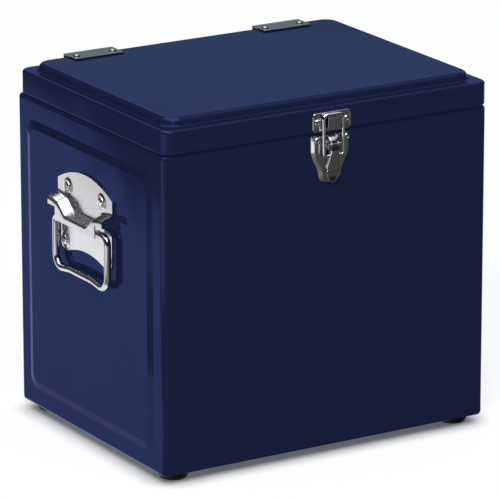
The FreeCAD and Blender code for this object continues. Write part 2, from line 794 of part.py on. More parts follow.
def make_hinges():
    strap, leaf = hinge_shapes()
    hole = RIVET_HOLE.number
    spacing = dim("hinge_rivet_spacing").number / 2
    for offset in (-spacing, spacing):
        under_strap = Vector(offset, strap_rivet_y.number, lid_top.number - 4)
        before_leaf = Vector(offset, half_depth.number - 4, leaf_rivet_z.number)
        strap = strap.cut(Part.makeCylinder(hole, 10, under_strap, Z_AXIS))
        leaf = leaf.cut(Part.makeCylinder(hole, 10, before_leaf, Y_AXIS))
    for name, x in hinge_x.items():
        there = FreeCAD.Placement(Vector(x.number, 0, 0), FreeCAD.Rotation())
        formed(f"hinge_lid_strap_{name}", strap, there)
        formed(f"hinge_body_leaf_{name}", leaf, there)
        pin = cylinder(f"hinge_rod_{name}", dim("hinge_pin_radius"), dim("hinge_width") + 1,
                       x - dim("hinge_width") * 0.5 - 0.5, hinge_pin_y, hinge_pin_z, X_AXIS)
        name_subpart(group(f"hinge_pin_rod_{name}", [pin]), f"hinge_pin_{name}")
    sheet_stack = dim("hinge_sheet") + dim("play")
    rivets("hinge_lid_rivets", [(x, strap_rivet_y, lid_top + sheet_stack) for x in hinge_rivet_x],
           Z_AXIS, sheet_stack + dim("steel"))
    rivets("hinge_body_rivets", [(x, half_depth + sheet_stack, leaf_rivet_z) for x in hinge_rivet_x],
           Y_AXIS, sheet_stack + dim("steel"))


# ---------------------------------------------------------------- side handles (built on the right)

def handle_outline(bottom):
    """Arched plate in YZ; below the shoulders its sides run down to the given steps."""
    x = emboss_face.number
    half = dim("handle_width").number / 2
    shoulder = dim("handle_shoulder").number
    crown = shoulder + dim("handle_arch").number
    steps = [Vector(x, -half, shoulder), (Vector(x, 0, crown), Vector(x, half, shoulder))]
    return outline_face(steps + [step_at(x, step) for step in bottom])


def step_at(x, step):
    """A (y, z) pair, or a pair of them for an arc, as points at the given x."""
    if isinstance(step[0], tuple):
        return tuple(Vector(x, y, z) for y, z in step)
    return Vector(x, *step)


def back_plate_shape():
    """Flat plate with a waist behind the hood and two round lobes at the bottom."""
    top_half = dim("handle_width").number / 2 - 0.5
    half = dim("back_plate_width").number / 2
    waist = dim("waist_width").number / 2
    waist_low, waist_high = dim("waist_low").number, dim("hood_end").number
    radius = dim("lobe_radius").number
    lobe_y = half - radius
    lobe_z = LOWER_SCREW[1].number - 2
    low = lobe_z - radius
    sweep = radius * math.sqrt(0.5)
    inner = lobe_y - 4
    right = [(top_half, waist_high), (waist, waist_high), (waist, waist_low), (half, waist_low),
             (half, lobe_z), ((lobe_y + sweep, lobe_z - sweep), (lobe_y, low)), (inner, low)]
    left = [((0, dim("lobe_arch").number), (-inner, low)), (-lobe_y, low),
            ((-lobe_y - sweep, lobe_z - sweep), (-half, lobe_z)), (-half, waist_low),
            (-waist, waist_low), (-waist, waist_high), (-top_half, waist_high)]
    plate = handle_outline(right + left).extrude(X_AXIS * dim("handle_sheet").number)
    return plate.cut(screw_drills())


def screw_drills():
    inside = emboss_face.number - 20
    return [Part.makeCylinder(SCREW_HOLE.number, 60, Vector(inside, y.number, z.number), X_AXIS)
            for y, z in handle_screws]


def front_plate_shape():
    """Arched plate whose lower edge is folded out into a stepped hood with a flap."""
    t = dim("handle_sheet").number
    face = emboss_face.number + 2 * t
    half = dim("handle_width").number / 2
    low = dim("flap_bottom").number
    reach = dim("hood_depth").number
    top = dim("handle_shoulder").number + dim("handle_arch").number + 5
    drop = dim("hood_crest_drop").number
    back = face - t + dim("play").number

    def section(y, crease):
        outside = [(face, top), (face, crease), (face + reach * 0.72, crease - 3.5),
                   (face + reach, crease - drop), (face + reach, low)]
        inside = [(face + reach - t, low), (face + reach - t, crease - drop - 0.4),
                  (face + reach * 0.68, crease - 4.8), (back, crease - 1), (back, top)]
        points = outside + inside
        return Part.makePolygon([Vector(x, y, z) for x, z in points + points[:1]])

    end, middle = dim("hood_end").number, dim("hood_middle").number
    end_y = dim("hood_end_start").number / 2
    middle_y = dim("hood_middle_width").number / 2
    stations = [(-half, end), (-end_y, end), (-middle_y, middle),
                (middle_y, middle), (end_y, end), (half, end)]
    hood = Part.makeLoft([section(y, crease) for y, crease in stations], True, True)
    below = [(half, low - 5), (-half, low - 5)]
    arched = handle_outline(below).extrude(X_AXIS * 30)
    hood = hood.common(arched)
    flap = dim("flap_width").number / 2
    tip_low = end - dim("hood_tip_drop").number
    for y in (-half - 1, flap):
        hood = hood.cut(Part.makeBox(30, half + 1 - flap, tip_low - low + 5,
                                     Vector(emboss_face.number, y, low - 5)))
    return hood.cut(screw_drills())


def handle_bail_shape():
    """Bent rod: two stubs inside the hood, two legs and a bar that rises in the middle."""
    x = emboss_face.number + dim("bail_pivot_out").number
    side = dim("bail_width").number / 2
    pivot = dim("bail_pivot").number
    low = dim("bail_low").number
    half_path = [(dim("bail_stub_gap").number / 2, pivot), (side, pivot), (side, low),
                 (dim("bail_rise_width").number / 2, low + dim("bail_rise").number)]
    points = [Vector(x, -y, z) for y, z in half_path] + [Vector(x, y, z) for y, z in half_path[::-1]]
    return bent_rod(points, [8, 12, 30, 30, 12, 8], dim("bail_wire").number)


def make_handles():
    shapes = {
        "handle_back_plate": back_plate_shape(),
        "handle_front_plate": front_plate_shape(),
        "handle_bail": handle_bail_shape(),
    }
    for name, sign in SIDES.items():
        turned = FreeCAD.Placement(Vector(), FreeCAD.Rotation(Z_AXIS, 0 if sign > 0 else 180))
        for label, shape in shapes.items():
            formed(f"{label}_{name}", shape, turned)
        make_handle_screws(name, sign)


def make_handle_screws(name, sign):
    """Four dome-headed screws and the nuts behind the sheet."""
    outward = X_AXIS * sign
    screws = []
    nuts = []
    for number, (y, z) in enumerate(handle_screws):
        plates = 2 if z.number == UPPER_SCREW[1].number else 1
        seat = (emboss_face + dim("handle_sheet") * plates + 0.02) * sign
        head = doc.addObject("Part::Ellipsoid", f"screw_head_{name}_{number}")
        head.Angle1 = 0
        bind(head, "Radius1", dim("screw_dome"))
        bind(head, "Radius2", dim("screw_head"))
        bind(head, "Radius3", dim("screw_head"))
        place(head, seat, y, z, turn_to(outward))
        shank = cylinder(f"screw_shank_{name}_{number}", dim("screw_shank"), dim("screw_length"),
                         seat, y, z, -outward)
        screws.append(fuse(f"handle_screw_{name}_{number}", [head, shank]))
        nut = doc.addObject("Part::Prism", f"nut_block_{name}_{number}")
        nut.Polygon = 6
        bind(nut, "Circumradius", dim("nut_size"))
        bind(nut, "Height", dim("nut_height"))
        nut_x = (emboss_face - dim("steel") - 0.02) * sign
        place(nut, nut_x, y, z, turn_to(-outward))
        bore = cylinder(f"nut_bore_{name}_{number}", SCREW_HOLE, dim("nut_height") + 2,
                        nut_x + 1.0 * sign, y, z, -outward)
        nuts.append(cut_away(f"nut_{name}_{number}", nut, [bore]))
    name_subpart(group(f"handle_screw_set_{name}", screws), f"handle_screws_{name}")
    name_subpart(group(f"handle_nut_set_{name}", nuts), f"handle_nuts_{name}")


# ---------------------------------------------------------------- latch

def front_point(x, out, z):
    """A point a distance out from the front face, with x measured from the latch's middle."""
    return Vector(dim("latch_centre").number + x, -half_depth.number - out, z)


def front_bar(radius, half_length, out, z):
    return rod_solid(radius, front_point(-half_length, out, z), front_point(half_length, out, z))


def front_prism(profile, half_length):
    """A prism across the latch from an (out, z) profile."""
    points = [front_point(-half_length, out, z) for out, z in profile]
    return solid_from(points, X_AXIS * (2 * half_length))


def front_plate(steps, start, thickness):
    """A plate parallel to the front face from (x, z) steps."""
    turned = []
    for step in steps:
        if isinstance(step[0], tuple):
            turned.append(tuple(front_point(x, start, z) for x, z in step))
        else:
            turned.append(front_point(step[0], start, step[1]))
    return outline_face(turned).extrude(Vector(0, -thickness, 0))


def rivet_drills(xs, z):
    in_front = -half_depth.number - 10
    return [Part.makeCylinder(RIVET_HOLE.number, 20, Vector(x.number, in_front, z.number), Y_AXIS)
            for x in xs]


def catch_shape():
    """Plate on the lid with a folded-up hook under the loop's bar."""
    t = dim("latch_sheet").number
    back = dim("lid_front_reach").number + dim("play").number
    half = dim("catch_width").number / 2
    low = dim("catch_low").number
    high = low + dim("catch_height").number
    radius = 3
    bulge = radius * (1 - math.sqrt(0.5))
    right = [
        (half - radius, low), ((half - bulge, low + bulge), (half, low + radius)),
        (half, high - radius), ((half - bulge, high - bulge), (half - radius, high)),
    ]
    left = [
        (radius - half, high), ((bulge - half, high - bulge), (-half, high - radius)),
        (-half, low + radius), ((bulge - half, low + bulge), (radius - half, low)),
    ]
    plate = front_plate(right + left, back, t)
    lip = dim("loop_bar").number - dim("loop_wire").number - dim("play").number
    face = back + t
    root = back + 0.2
    tip = face + 5.2
    ledge = low + 1.2
    hook = front_prism([(root, ledge), (face, ledge), (tip - 0.7, lip - 4.6), (tip, lip),
                        (tip - 1.2, lip), (tip - 2.2, lip - 1.2), (root, lip - 1.2)], 8)
    return plate.fuse(hook).cut(rivet_drills(catch_rivet_x, dim("catch_rivet_z"))).removeSplitter()


def base_plate(inset, start, depth, rise=0):
    """The base's outline as a plate: straight sides that narrow in an S to a rounded tip."""
    half = dim("base_width").number / 2 - inset
    top = dim("base_top").number
    tip = top - dim("base_length").number + inset
    bend = top - 17
    neck = dim("base_neck").number - inset
    steps = [
        (half, top + rise),
        (half, bend),
        ((half - 2, bend - 7), (neck + 1.5, bend - 17)),
        (neck, tip + 9),
        ((neck * 0.6, tip + 1.9), (0, tip)),
        ((-neck * 0.6, tip + 1.9), (-neck, tip + 9)),
        (-neck - 1.5, bend - 17),
        ((2 - half, bend - 7), (-half, bend)),
        (-half, top + rise),
    ]
    return front_plate(steps, start, depth)


def base_shape():
    """Pressed channel on the body with a tongue that carries the lever's pin."""
    t = dim("latch_sheet").number
    play = dim("play").number
    tray = base_plate(0, play, dim("base_rim").number).cut(base_plate(t, play + t, 20, rise=5))
    out, z = dim("lever_pivot_out").number, dim("lever_pivot").number
    half_tongue = 5
    barrel = front_bar(3, half_tongue, out, z)
    root_out, root_z = 1, dim("base_top").number - 0.6
    end_out, end_z = out + 0.7, z + 2.4
    lean = Vector(0, end_out - root_out, root_z - end_z)
    across = Vector(0, lean.z, lean.y).normalize() * (t * 0.6)
    tongue = front_prism([(root_out + across.y, root_z + across.z), (root_out - across.y, root_z - across.z),
                          (end_out - across.y, end_z - across.z), (end_out + across.y, end_z + across.z)],
                         half_tongue)
    base = tray.fuse([tongue, barrel]).cut(front_bar(dim("pin_radius").number, 20, out, z))
    return base.cut(rivet_drills(base_rivet_x, dim("base_rivet_z"))).removeSplitter()


def lever_shape():
    """Tapered channel that turns on the base's pin, carries the loop and leans towards the body."""
    t = dim("latch_sheet").number
    play = dim("play").number
    out, z = dim("lever_pivot_out").number, dim("lever_pivot").number
    face = out + 4.5
    narrow, wide = 6.6, 7.8
    foot = dim("loop_pivot").number - 15
    neck = z - 7

    def channel(inset, start, end):
        steps = [(narrow - inset, z + 8), (narrow - inset, neck),
                 (wide - inset, neck - 3), (wide - inset, foot)]
        steps += [(-x, level) for x, level in steps[::-1]]
        return front_plate(steps, start, end - start)

    block = channel(0, 4, face).cut(channel(t, 3, face - t))
    side = front_prism([(out - 3.2, z), (out - 2.5, z - 9), (out + 1, foot), (face, foot), (face, z)], 12)
    side = side.fuse(front_bar(3.2, 12, out, z))
    window = front_prism([(0, z - 5), (20, z - 5), (20, z + 9), (0, z + 9)], narrow - t)
    lever = block.common(side).cut(window)
    half_tab = 7.5
    curl = front_prism([(face - t, foot + 1), (face, foot + 1), (face + 0.6, foot - 2.5),
                        (face + 3.8, foot - 10), (face + 2.7, foot - 10.6), (face - 0.8, foot - 3)], half_tab)
    round_end = front_plate([(half_tab, foot + 2), (half_tab, foot - 2.6),
                             ((0, foot - 10.6), (-half_tab, foot - 2.6)), (-half_tab, foot + 2)], 0, 30)
    lever = lever.fuse(curl.common(round_end))
    lever.rotate(front_point(0, out, z), X_AXIS, dim("lever_lean").number)
    lever = lever.cut(front_bar(dim("pin_radius").number + play, 20, out, z))
    loop_hole = front_bar(dim("loop_wire").number + 0.08, 20,
                          dim("loop_pivot_out").number, dim("loop_pivot").number)
    return lever.cut(loop_hole).removeSplitter()


def loop_shape():
    """Wire loop: two stubs in the lever, two legs and a bar over the hook."""
    side = dim("loop_width").number / 2
    low = (dim("loop_pivot_out").number, dim("loop_pivot").number)
    high = (dim("loop_bar_out").number, dim("loop_bar").number)
    points = [front_point(-6.7, *low), front_point(-side, *low), front_point(-side, *high),
              front_point(side, *high), front_point(side, *low), front_point(6.7, *low)]
    return bent_rod(points, [1.75, 3, 3, 1.75], dim("loop_wire").number)


def make_latch():
    formed("latch_catch", catch_shape())
    formed("latch_base", base_shape())
    formed("latch_lever", lever_shape())
    formed("latch_loop", loop_shape())
    half_pin = dim("pin_length") * 0.5
    pin = cylinder("pivot_pin", dim("pin_radius"), dim("pin_length"), dim("latch_centre") - half_pin,
                   -(half_depth + dim("lever_pivot_out")), dim("lever_pivot"), X_AXIS)
    name_subpart(group("pivot_pin_rod", [pin]), "latch_pivot_pin")
    stack = dim("latch_sheet") + dim("play")
    rivets("latch_catch_rivets", [(x, -(lid_front + stack), dim("catch_rivet_z")) for x in catch_rivet_x],
           -Y_AXIS, stack + dim("steel"))
    rivets("latch_base_rivets", [(x, -(half_depth + stack), dim("base_rivet_z")) for x in base_rivet_x],
           -Y_AXIS, stack + dim("steel"))


# ---------------------------------------------------------------- build, check and write

def centre_footprint():
    for obj in subparts:
        bind(obj, "Placement.Base.y", dim("footprint_shift"))


def check_document():
    for obj in doc.Objects:
        faults = [state for state in obj.State if state in ("Invalid", "Error")]
        if faults:
            raise RuntimeError(f"{obj.Name} failed: {faults}")
    for obj in subparts:
        if obj.Shape.isNull() or not obj.Shape.isValid():
            raise RuntimeError(f"{obj.Label} has no valid shape")


def write_parts():
    os.makedirs("parts", exist_ok=True)
    for obj in subparts:
        obj.Shape.exportStep(os.path.join("parts", obj.Label + ".step"))


make_body_shell()
make_base_pan()
make_body_insulation()
make_inner_liner()
make_feet()
make_lid_shell()
make_lid_insulation()
make_lid_liner()
make_lid_gasket()
make_hinges()
make_handles()
make_latch()
centre_footprint()
doc.recompute()
check_document()
write_parts()
print(len(subparts), "sub-parts written")
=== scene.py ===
import json
import math

import bmesh
import bpy
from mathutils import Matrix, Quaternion, Vector


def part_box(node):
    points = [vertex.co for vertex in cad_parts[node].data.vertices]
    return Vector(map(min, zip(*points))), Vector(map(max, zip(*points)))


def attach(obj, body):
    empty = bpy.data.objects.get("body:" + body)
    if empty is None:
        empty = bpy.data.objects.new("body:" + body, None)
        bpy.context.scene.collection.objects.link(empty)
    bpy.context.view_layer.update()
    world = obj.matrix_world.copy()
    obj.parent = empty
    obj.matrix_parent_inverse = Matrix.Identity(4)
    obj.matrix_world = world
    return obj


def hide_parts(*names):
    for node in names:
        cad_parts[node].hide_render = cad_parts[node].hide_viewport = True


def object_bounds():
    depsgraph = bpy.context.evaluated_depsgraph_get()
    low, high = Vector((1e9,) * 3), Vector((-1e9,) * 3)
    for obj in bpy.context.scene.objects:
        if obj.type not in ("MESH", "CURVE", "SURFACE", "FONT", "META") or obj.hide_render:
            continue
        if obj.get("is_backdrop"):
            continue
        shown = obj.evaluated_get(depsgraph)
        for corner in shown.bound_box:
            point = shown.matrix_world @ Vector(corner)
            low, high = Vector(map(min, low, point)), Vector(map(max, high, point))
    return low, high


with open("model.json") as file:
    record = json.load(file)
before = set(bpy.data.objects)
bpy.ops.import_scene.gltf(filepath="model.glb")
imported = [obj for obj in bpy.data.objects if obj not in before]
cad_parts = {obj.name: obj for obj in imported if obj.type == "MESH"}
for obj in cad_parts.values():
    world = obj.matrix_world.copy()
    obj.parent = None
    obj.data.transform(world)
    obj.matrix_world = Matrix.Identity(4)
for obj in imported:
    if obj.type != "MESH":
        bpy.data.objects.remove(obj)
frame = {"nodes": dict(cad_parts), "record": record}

MM = 0.001
cad_low, cad_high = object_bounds()

# ---------------------------------------------------------------- materials

NAVY_DARK, NAVY_LIGHT = (0.0215, 0.0360, 0.1060), (0.0225, 0.0385, 0.1130)
NAVY_TINT = (0.1, 0.35, 0.9, 1)
# painted light: a faint glow of the paint itself keeps unlit parts, creases and the lid seam blue, standing
# in for light scattered back from the pale studio
NAVY_PAINTED_GLOW = (0.0040, 0.0058, 0.0190, 1)
DULLED, DARKENED = 0.93, 0.85


def new_material(name):
    """A material with its nodes, links and Principled shader."""
    material = bpy.data.materials.new(name)
    material.use_nodes = True
    nodes = material.node_tree.nodes
    return material, nodes, material.node_tree.links, nodes["Principled BSDF"]


def object_coordinates(nodes, links, scale=(1, 1, 1)):
    """Object-space position in metres, stretched by a scale."""
    source = nodes.new("ShaderNodeTexCoord")
    mapping = nodes.new("ShaderNodeMapping")
    mapping.inputs["Scale"].default_value = scale
    links.new(source.outputs["Object"], mapping.inputs["Vector"])
    return mapping.outputs["Vector"]


def noise(nodes, links, vector, scale, detail=2.0):
    """Soft random patches, this many to the metre."""
    texture = nodes.new("ShaderNodeTexNoise")
    texture.inputs["Scale"].default_value = scale
    texture.inputs["Detail"].default_value = detail
    links.new(vector, texture.inputs["Vector"])
    return texture.outputs["Fac"]


def remap(nodes, links, value, low, high, start=0.0, end=1.0):
    """Low where the value is at its start, high at its end, in proportion between and held beyond."""
    node = nodes.new("ShaderNodeMapRange")
    node.inputs["From Min"].default_value = start
    node.inputs["From Max"].default_value = end
    node.inputs["To Min"].default_value = low
    node.inputs["To Max"].default_value = high
    links.new(value, node.inputs["Value"])
    return node.outputs["Result"]


def blend_colours(nodes, links, factor, first, second):
    """A mix of two colours, each a tuple or another node's output."""
    node = nodes.new("ShaderNodeMix")
    node.data_type = "RGBA"
    for key, colour in (("A", first), ("B", second)):
        if isinstance(colour, tuple):
            node.inputs[key].default_value = (*colour, 1)
        else:
            links.new(colour, node.inputs[key])
    links.new(factor, node.inputs["Factor"])
    return node.outputs["Result"]


def bump(nodes, links, height, distance, strength=1.0, normal=None):
    """A surface normal for relief this deep in metres, on top of another normal if one is given."""
    node = nodes.new("ShaderNodeBump")
    node.inputs["Distance"].default_value = distance
    node.inputs["Strength"].default_value = strength
    links.new(height, node.inputs["Height"])
    if normal is not None:
        links.new(normal, node.inputs["Normal"])
    return node.outputs["Normal"]


def navy_enamel():
    """Gloss navy paint: a faint mottle, orange peel, slow swells in the sheet under it, and a faint painted
    glow that keeps shaded parts blue.
    """
    material, nodes, links, shader = new_material("navy_enamel")
    where = object_coordinates(nodes, links)
    mottle = noise(nodes, links, where, scale=22, detail=3)
    links.new(blend_colours(nodes, links, mottle, NAVY_DARK, NAVY_LIGHT), shader.inputs["Base Color"])
    fine = noise(nodes, links, where, scale=900)
    links.new(remap(nodes, links, fine, low=0.04, high=0.08), shader.inputs["Roughness"])
    peel = noise(nodes, links, where, scale=500, detail=1.5)
    swell = noise(nodes, links, where, scale=9, detail=1)
    peeled = bump(nodes, links, peel, distance=0.000004, strength=0.3)
    links.new(bump(nodes, links, swell, distance=0.003, strength=0.35, normal=peeled),
              shader.inputs["Normal"])
    shader.inputs["Metallic"].default_value = 0.3
    shader.inputs["Specular IOR Level"].default_value = 0.03
    shader.inputs["Specular Tint"].default_value = NAVY_TINT
    # painted light: the paint glows faintly, lifting shaded parts and the lid seam instead of real bounced
    # light
    shader.inputs["Emission Color"].default_value = NAVY_PAINTED_GLOW
    shader.inputs["Emission Strength"].default_value = 1.0
    return material


def plated_metal(name, colour, rough_low, rough_high, stretch=(1, 1, 1), grain_depth=0.0000012):
    """Bright metal; the stretch draws the fine grain out along one direction."""
    material, nodes, links, shader = new_material(name)
    broad = noise(nodes, links, object_coordinates(nodes, links), scale=60)
    streaks = noise(nodes, links, object_coordinates(nodes, links, stretch), scale=1800)
    dull = tuple(c * DULLED for c in colour)
    links.new(blend_colours(nodes, links, broad, dull, colour), shader.inputs["Base Color"])
    links.new(remap(nodes, links, streaks, rough_low, rough_high), shader.inputs["Roughness"])
    links.new(bump(nodes, links, streaks, grain_depth), shader.inputs["Normal"])
    shader.inputs["Metallic"].default_value = 1
    return material


def plain_matt(name, colour, rough_low, rough_high, grain_scale):
    """Foam, plastic or rubber: a mottled colour and a fine grain."""
    material, nodes, links, shader = new_material(name)
    where = object_coordinates(nodes, links)
    mottle = noise(nodes, links, where, scale=120, detail=3)
    grain = noise(nodes, links, where, grain_scale)
    dark = tuple(c * DARKENED for c in colour)
    links.new(blend_colours(nodes, links, mottle, dark, colour), shader.inputs["Base Color"])
    links.new(remap(nodes, links, mottle, rough_low, rough_high), shader.inputs["Roughness"])
    links.new(bump(nodes, links, grain, distance=0.00005, strength=0.4), shader.inputs["Normal"])
    return material


LOOKS = {
    "painted_steel": navy_enamel(),
    "foam": plain_matt("foam", (0.8, 0.74, 0.55), 0.8, 0.95, 900),
    "liner_plastic": plain_matt("liner_plastic", (0.8, 0.81, 0.81), 0.25, 0.35, 500),
    "rubber": plain_matt("black_rubber", (0.004, 0.004, 0.004), 0.7, 0.9, 1200),
    "latch_chrome": plated_metal("latch_chrome", (0.68, 0.68, 0.70), 0.04, 0.1),
    "rivet_chrome": plated_metal("rivet_chrome", (0.82, 0.83, 0.85), 0.03, 0.08),
    "lever_chrome": plated_metal("lever_chrome", (0.62, 0.61, 0.63), 0.05, 0.12),
    "hinge_steel": plated_metal("hinge_steel", (0.26, 0.235, 0.245), 0.10, 0.22, (1, 0.1, 1)),
    "handle_steel": plated_metal("handle_steel", (0.66, 0.66, 0.69), 0.16, 0.26, (1, 1, 0.03), 0.000002),
    "screw_steel": plated_metal("screw_steel", (0.70, 0.70, 0.72), 0.08, 0.16),
    "rod_steel": plated_metal("rod_steel", (0.58, 0.58, 0.60), 0.10, 0.18),
}
NODE_SLOT = {entry["node"]: entry["material_slot"] for entry in frame["record"]["subparts"]}

for node, obj in frame["nodes"].items():
    for material_slot in obj.material_slots:
        material_slot.material = LOOKS[NODE_SLOT[node]]

# ---------------------------------------------------------------- mesh helpers

MERGE_WITHIN, EDGE_SLACK = 0.000001, 0.001
CORNER_FROM = math.radians(40)
ROD_END = 0.15
ON_AXIS = 0.05


def make_piece(name, verts, faces, look, body, node, sharp=38, edge=0.0, clamp=True):
    """A mesh in millimetres that stands for a CAD node; edge is the width of a rounded bevel."""
    mesh = bpy.data.meshes.new(name)
    mesh.from_pydata([Vector(v) * MM for v in verts], [], faces)
    shape = bmesh.new()
    shape.from_mesh(mesh)
    bmesh.ops.remove_doubles(shape, verts=shape.verts, dist=MERGE_WITHIN)
    loose = [v for v in shape.verts if not v.link_faces]
    bmesh.ops.delete(shape, geom=loose, context="VERTS")
    bmesh.ops.recalc_face_normals(shape, faces=shape.faces)
    if edge:
        corners = [e for e in shape.edges if len(e.link_faces) == 2 and e.calc_face_angle() > CORNER_FROM]
        bmesh.ops.bevel(shape, geom=corners, offset=edge * MM, segments=3, profile=0.5,
                        affect="EDGES", clamp_overlap=clamp)
    shape.to_mesh(mesh)
    shape.free()
    mesh.shade_smooth()
    mesh.set_sharp_from_angle(angle=math.radians(sharp))
    obj = bpy.data.objects.new(name, mesh)
    bpy.context.collection.objects.link(obj)
    obj.data.materials.append(LOOKS[look])
    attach(obj, body)
    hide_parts(node)


def smooth(low, high, value):
    """0 below low, 1 above high, and a soft rise between."""
    t = min(max((value - low) / (high - low), 0.0), 1.0)
    return t * t * (3 - 2 * t)


def evenly(start, end, count):
    """Values from start to end in this many equal steps."""
    return [start + (end - start) * i / count for i in range(count + 1)]


def spread(low, high, step):
    """Even values from low to high, about one step apart."""
    return evenly(low, high, max(1, round((high - low) / step)))


def around(count):
    """Angles evenly round one turn."""
    return [2 * math.pi * k / count for k in range(count)]


def joined(parts):
    """Several (verts, faces) shells as one."""
    verts, faces = [], []
    for more_verts, more_faces in parts:
        base = len(verts)
        verts += more_verts
        faces += [tuple(i + base for i in face) for face in more_faces]
    return verts, faces


def sheet(outer, inner, keep=lambda i, j: True):
    """A closed skin between two grids of points; cells can be left out."""
    rows = len(outer[0])
    count = len(outer) * rows
    verts = [p for column in outer for p in column] + [p for column in inner for p in column]
    faces = []
    rim = set()
    for i in range(len(outer) - 1):
        for j in range(rows - 1):
            if not keep(i, j):
                continue
            a, b = i * rows + j, (i + 1) * rows + j
            c, d = b + 1, a + 1
            faces += [(a, b, c, d), (a + count, d + count, c + count, b + count)]
            for first, second in ((a, b), (b, c), (c, d), (d, a)):
                if (second, first) in rim:
                    rim.remove((second, first))
                else:
                    rim.add((first, second))
    faces += [(b, a, a + count, b + count) for a, b in sorted(rim)]
    return verts, faces


def stacked(rings):
    """A solid from rings of equal length, closed by a flat face at each end."""
    count = len(rings[0])
    verts = [p for ring in rings for p in ring]
    faces = []
    for i in range(len(rings) - 1):
        for k in range(count):
            a, b = i * count + k, i * count + (k + 1) % count
            faces.append((a, b, b + count, a + count))
    faces.append(tuple(range(count)))
    faces.append(tuple(range((len(rings) - 1) * count, len(rings) * count)))
    return verts, faces


def turned(profile, frame_at, segments=32):
    """A solid of revolution: profile of (radius, height) from the axis round to the axis."""
    return stacked([[frame_at(radius * math.cos(a), radius * math.sin(a), height) for a in around(segments)]
                    for radius, height in profile])


def filleted(points, radii, step_degrees=9):
    """A path through points, its inner corners rounded."""
    path = [Vector(points[0])]
    for before, corner, after, radius in zip(points, points[1:], points[2:], radii):
        before, corner, after = Vector(before), Vector(corner), Vector(after)
        inward, outward = (before - corner).normalized(), (after - corner).normalized()
        half_angle = inward.angle(outward) / 2
        turn = math.pi - 2 * half_angle
        centre = corner + (inward + outward).normalized() * (radius / math.sin(half_angle))
        reach = radius / math.tan(half_angle)
        start, end = corner + inward * reach, corner + outward * reach
        axis = (start - centre).cross(end - centre).normalized()
        count = max(2, round(math.degrees(turn) / step_degrees))
        for angle in evenly(0.0, turn, count):
            path.append(centre + Quaternion(axis, angle) @ (start - centre))
    path.append(Vector(points[-1]))
    return path


def tangents_of(path):
    """Direction of a path at each of its points."""
    last = len(path) - 1
    return [(path[min(i + 1, last)] - path[max(i - 1, 0)]).normalized() for i in range(last + 1)]


def rod(path, radius, segments=20):
    """A round rod along a path, with slightly rounded ends."""
    tangents = tangents_of(path)
    cut = radius * ROD_END
    centres = [path[0] + tangents[0] * cut] + path[1:-1] + [path[-1] - tangents[-1] * cut]
    stations = [(path[0], tangents[0], radius - cut)]
    stations += [(centre, tangent, radius) for centre, tangent in zip(centres, tangents)]
    stations.append((path[-1], tangents[-1], radius - cut))
    side = tangents[0].orthogonal().normalized()
    rings = []
    for centre, tangent, size in stations:
        side = (side - tangent * side.dot(tangent)).normalized()
        up = tangent.cross(side)
        rings.append([centre + (side * math.cos(a) + up * math.sin(a)) * size for a in around(segments)])
    return stacked(rings)


def box_of(node):
    """Corners of a CAD node in millimetres."""
    low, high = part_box(node)
    return low / MM, high / MM


# ---------------------------------------------------------------- side handles
# Places are in millimetres: out from the side panel, along it from the plate's middle, up from the ground.

HANDLE_SHEET = 1.2
PLATE_STEP, WAIST_STEP, EAR_STEP = 0.9, 1.2, 1.0

# front plate: half width, height of its shoulders, rise of the arch between them
PLATE_HALF, SHOULDERS, ARCH_RISE = 52.2, 257.2, 14.0
# the flap in the middle hangs lower than the wings beside it, with a hairline cut between them
FLAP_HALF, FLAP_LOW, WING_LOW, FLAP_CUT = 38.5, 219.6, 232.6, 0.02
# the fold to the hood is lowest in the middle; each (from, to, rise) lifts it towards both ends
CREASE_MIDDLE, CREASE_RISES = 233.3, ((19, 35, 9.6), (30, 50, 2.8))
PLATE_ROWS, FILLET_ROWS, CREST_ROWS, FLAP_ROWS = 26, 6, 8, 6
HOOD_RISE, HOOD_TURN, HOOD_FILLET, HOOD_CREST = 11.6, math.radians(73), 3.2, 4.3
HOOD_SLOPE = (HOOD_RISE - (HOOD_FILLET + HOOD_CREST) * (1 - math.cos(HOOD_TURN))) / math.sin(HOOD_TURN)
HOOD_DROP = (HOOD_FILLET + HOOD_CREST) * math.sin(HOOD_TURN) + HOOD_SLOPE * math.cos(HOOD_TURN)

# back plate: half widths at the top, over the lobes and at the waist behind the hood
BACK_HALF, LOBES_HALF, WAIST_HALF = 51.7, 48.8, 30.0
LOBE_MIDDLE, LOBE_HEIGHT, LOBE_RADIUS = 40.8, 195.2, 8.0
LOWER_ARCH, LOWER_ARCH_BEND = 194.2, 0.0052
LOBES_TOP, WAIST_TOP, TOP_SETBACK = 226.0, 244.0, 0.4
LOBE_ROWS, WAIST_ROWS, TOP_ROWS = 24, 3, 3

UPPER_SCREWS = ((-32.2, 252.6), (32.2, 252.6))
LOWER_SCREWS = ((-40.7, 197.2), (40.7, 197.2))
BOSS_RISE, BOSS_TOP_RADIUS, BOSS_FOOT_RADIUS = 0.8, 6.6, 8.2
SCREW_RADIUS, SCREW_DOME, SCREW_SINK = 5.1, 2.2, 0.05
DOME_FLATNESS, DOME_SHOULDER = 2.6, 0.6
CROSS_REACH, CROSS_HALF, CROSS_DEPTH, CROSS_WALL, CROSS_TAPER = 2.7, 0.6, 1.1, (-0.35, 0.25), 0.25
FIRST_SCREW_TURN, NEXT_SCREW_TURN = 0.4, 0.7

BAIL_RADIUS, BAIL_OUT, BAIL_PIVOT = 3.5, 6.5, 222.0
BAIL_END, BAIL_REACH, BAIL_LOW = 30.0, 50.0, 168.6
GRIP_HALF, GRIP_RISE = 22.0, 4.2
BAIL_BENDS = [8, 12, 30, 30, 12, 8]


def handle_space(side):
    """Handle coordinates (out from the panel, along it, up) as world millimetres."""
    low, high = box_of("handle_back_plate_" + side)
    sign = 1 if side == "right" else -1
    face = min(abs(low.x), abs(high.x))
    middle = (low.y + high.y) / 2
    return lambda out, along, z: Vector((sign * (face + out), middle + sign * along, z))


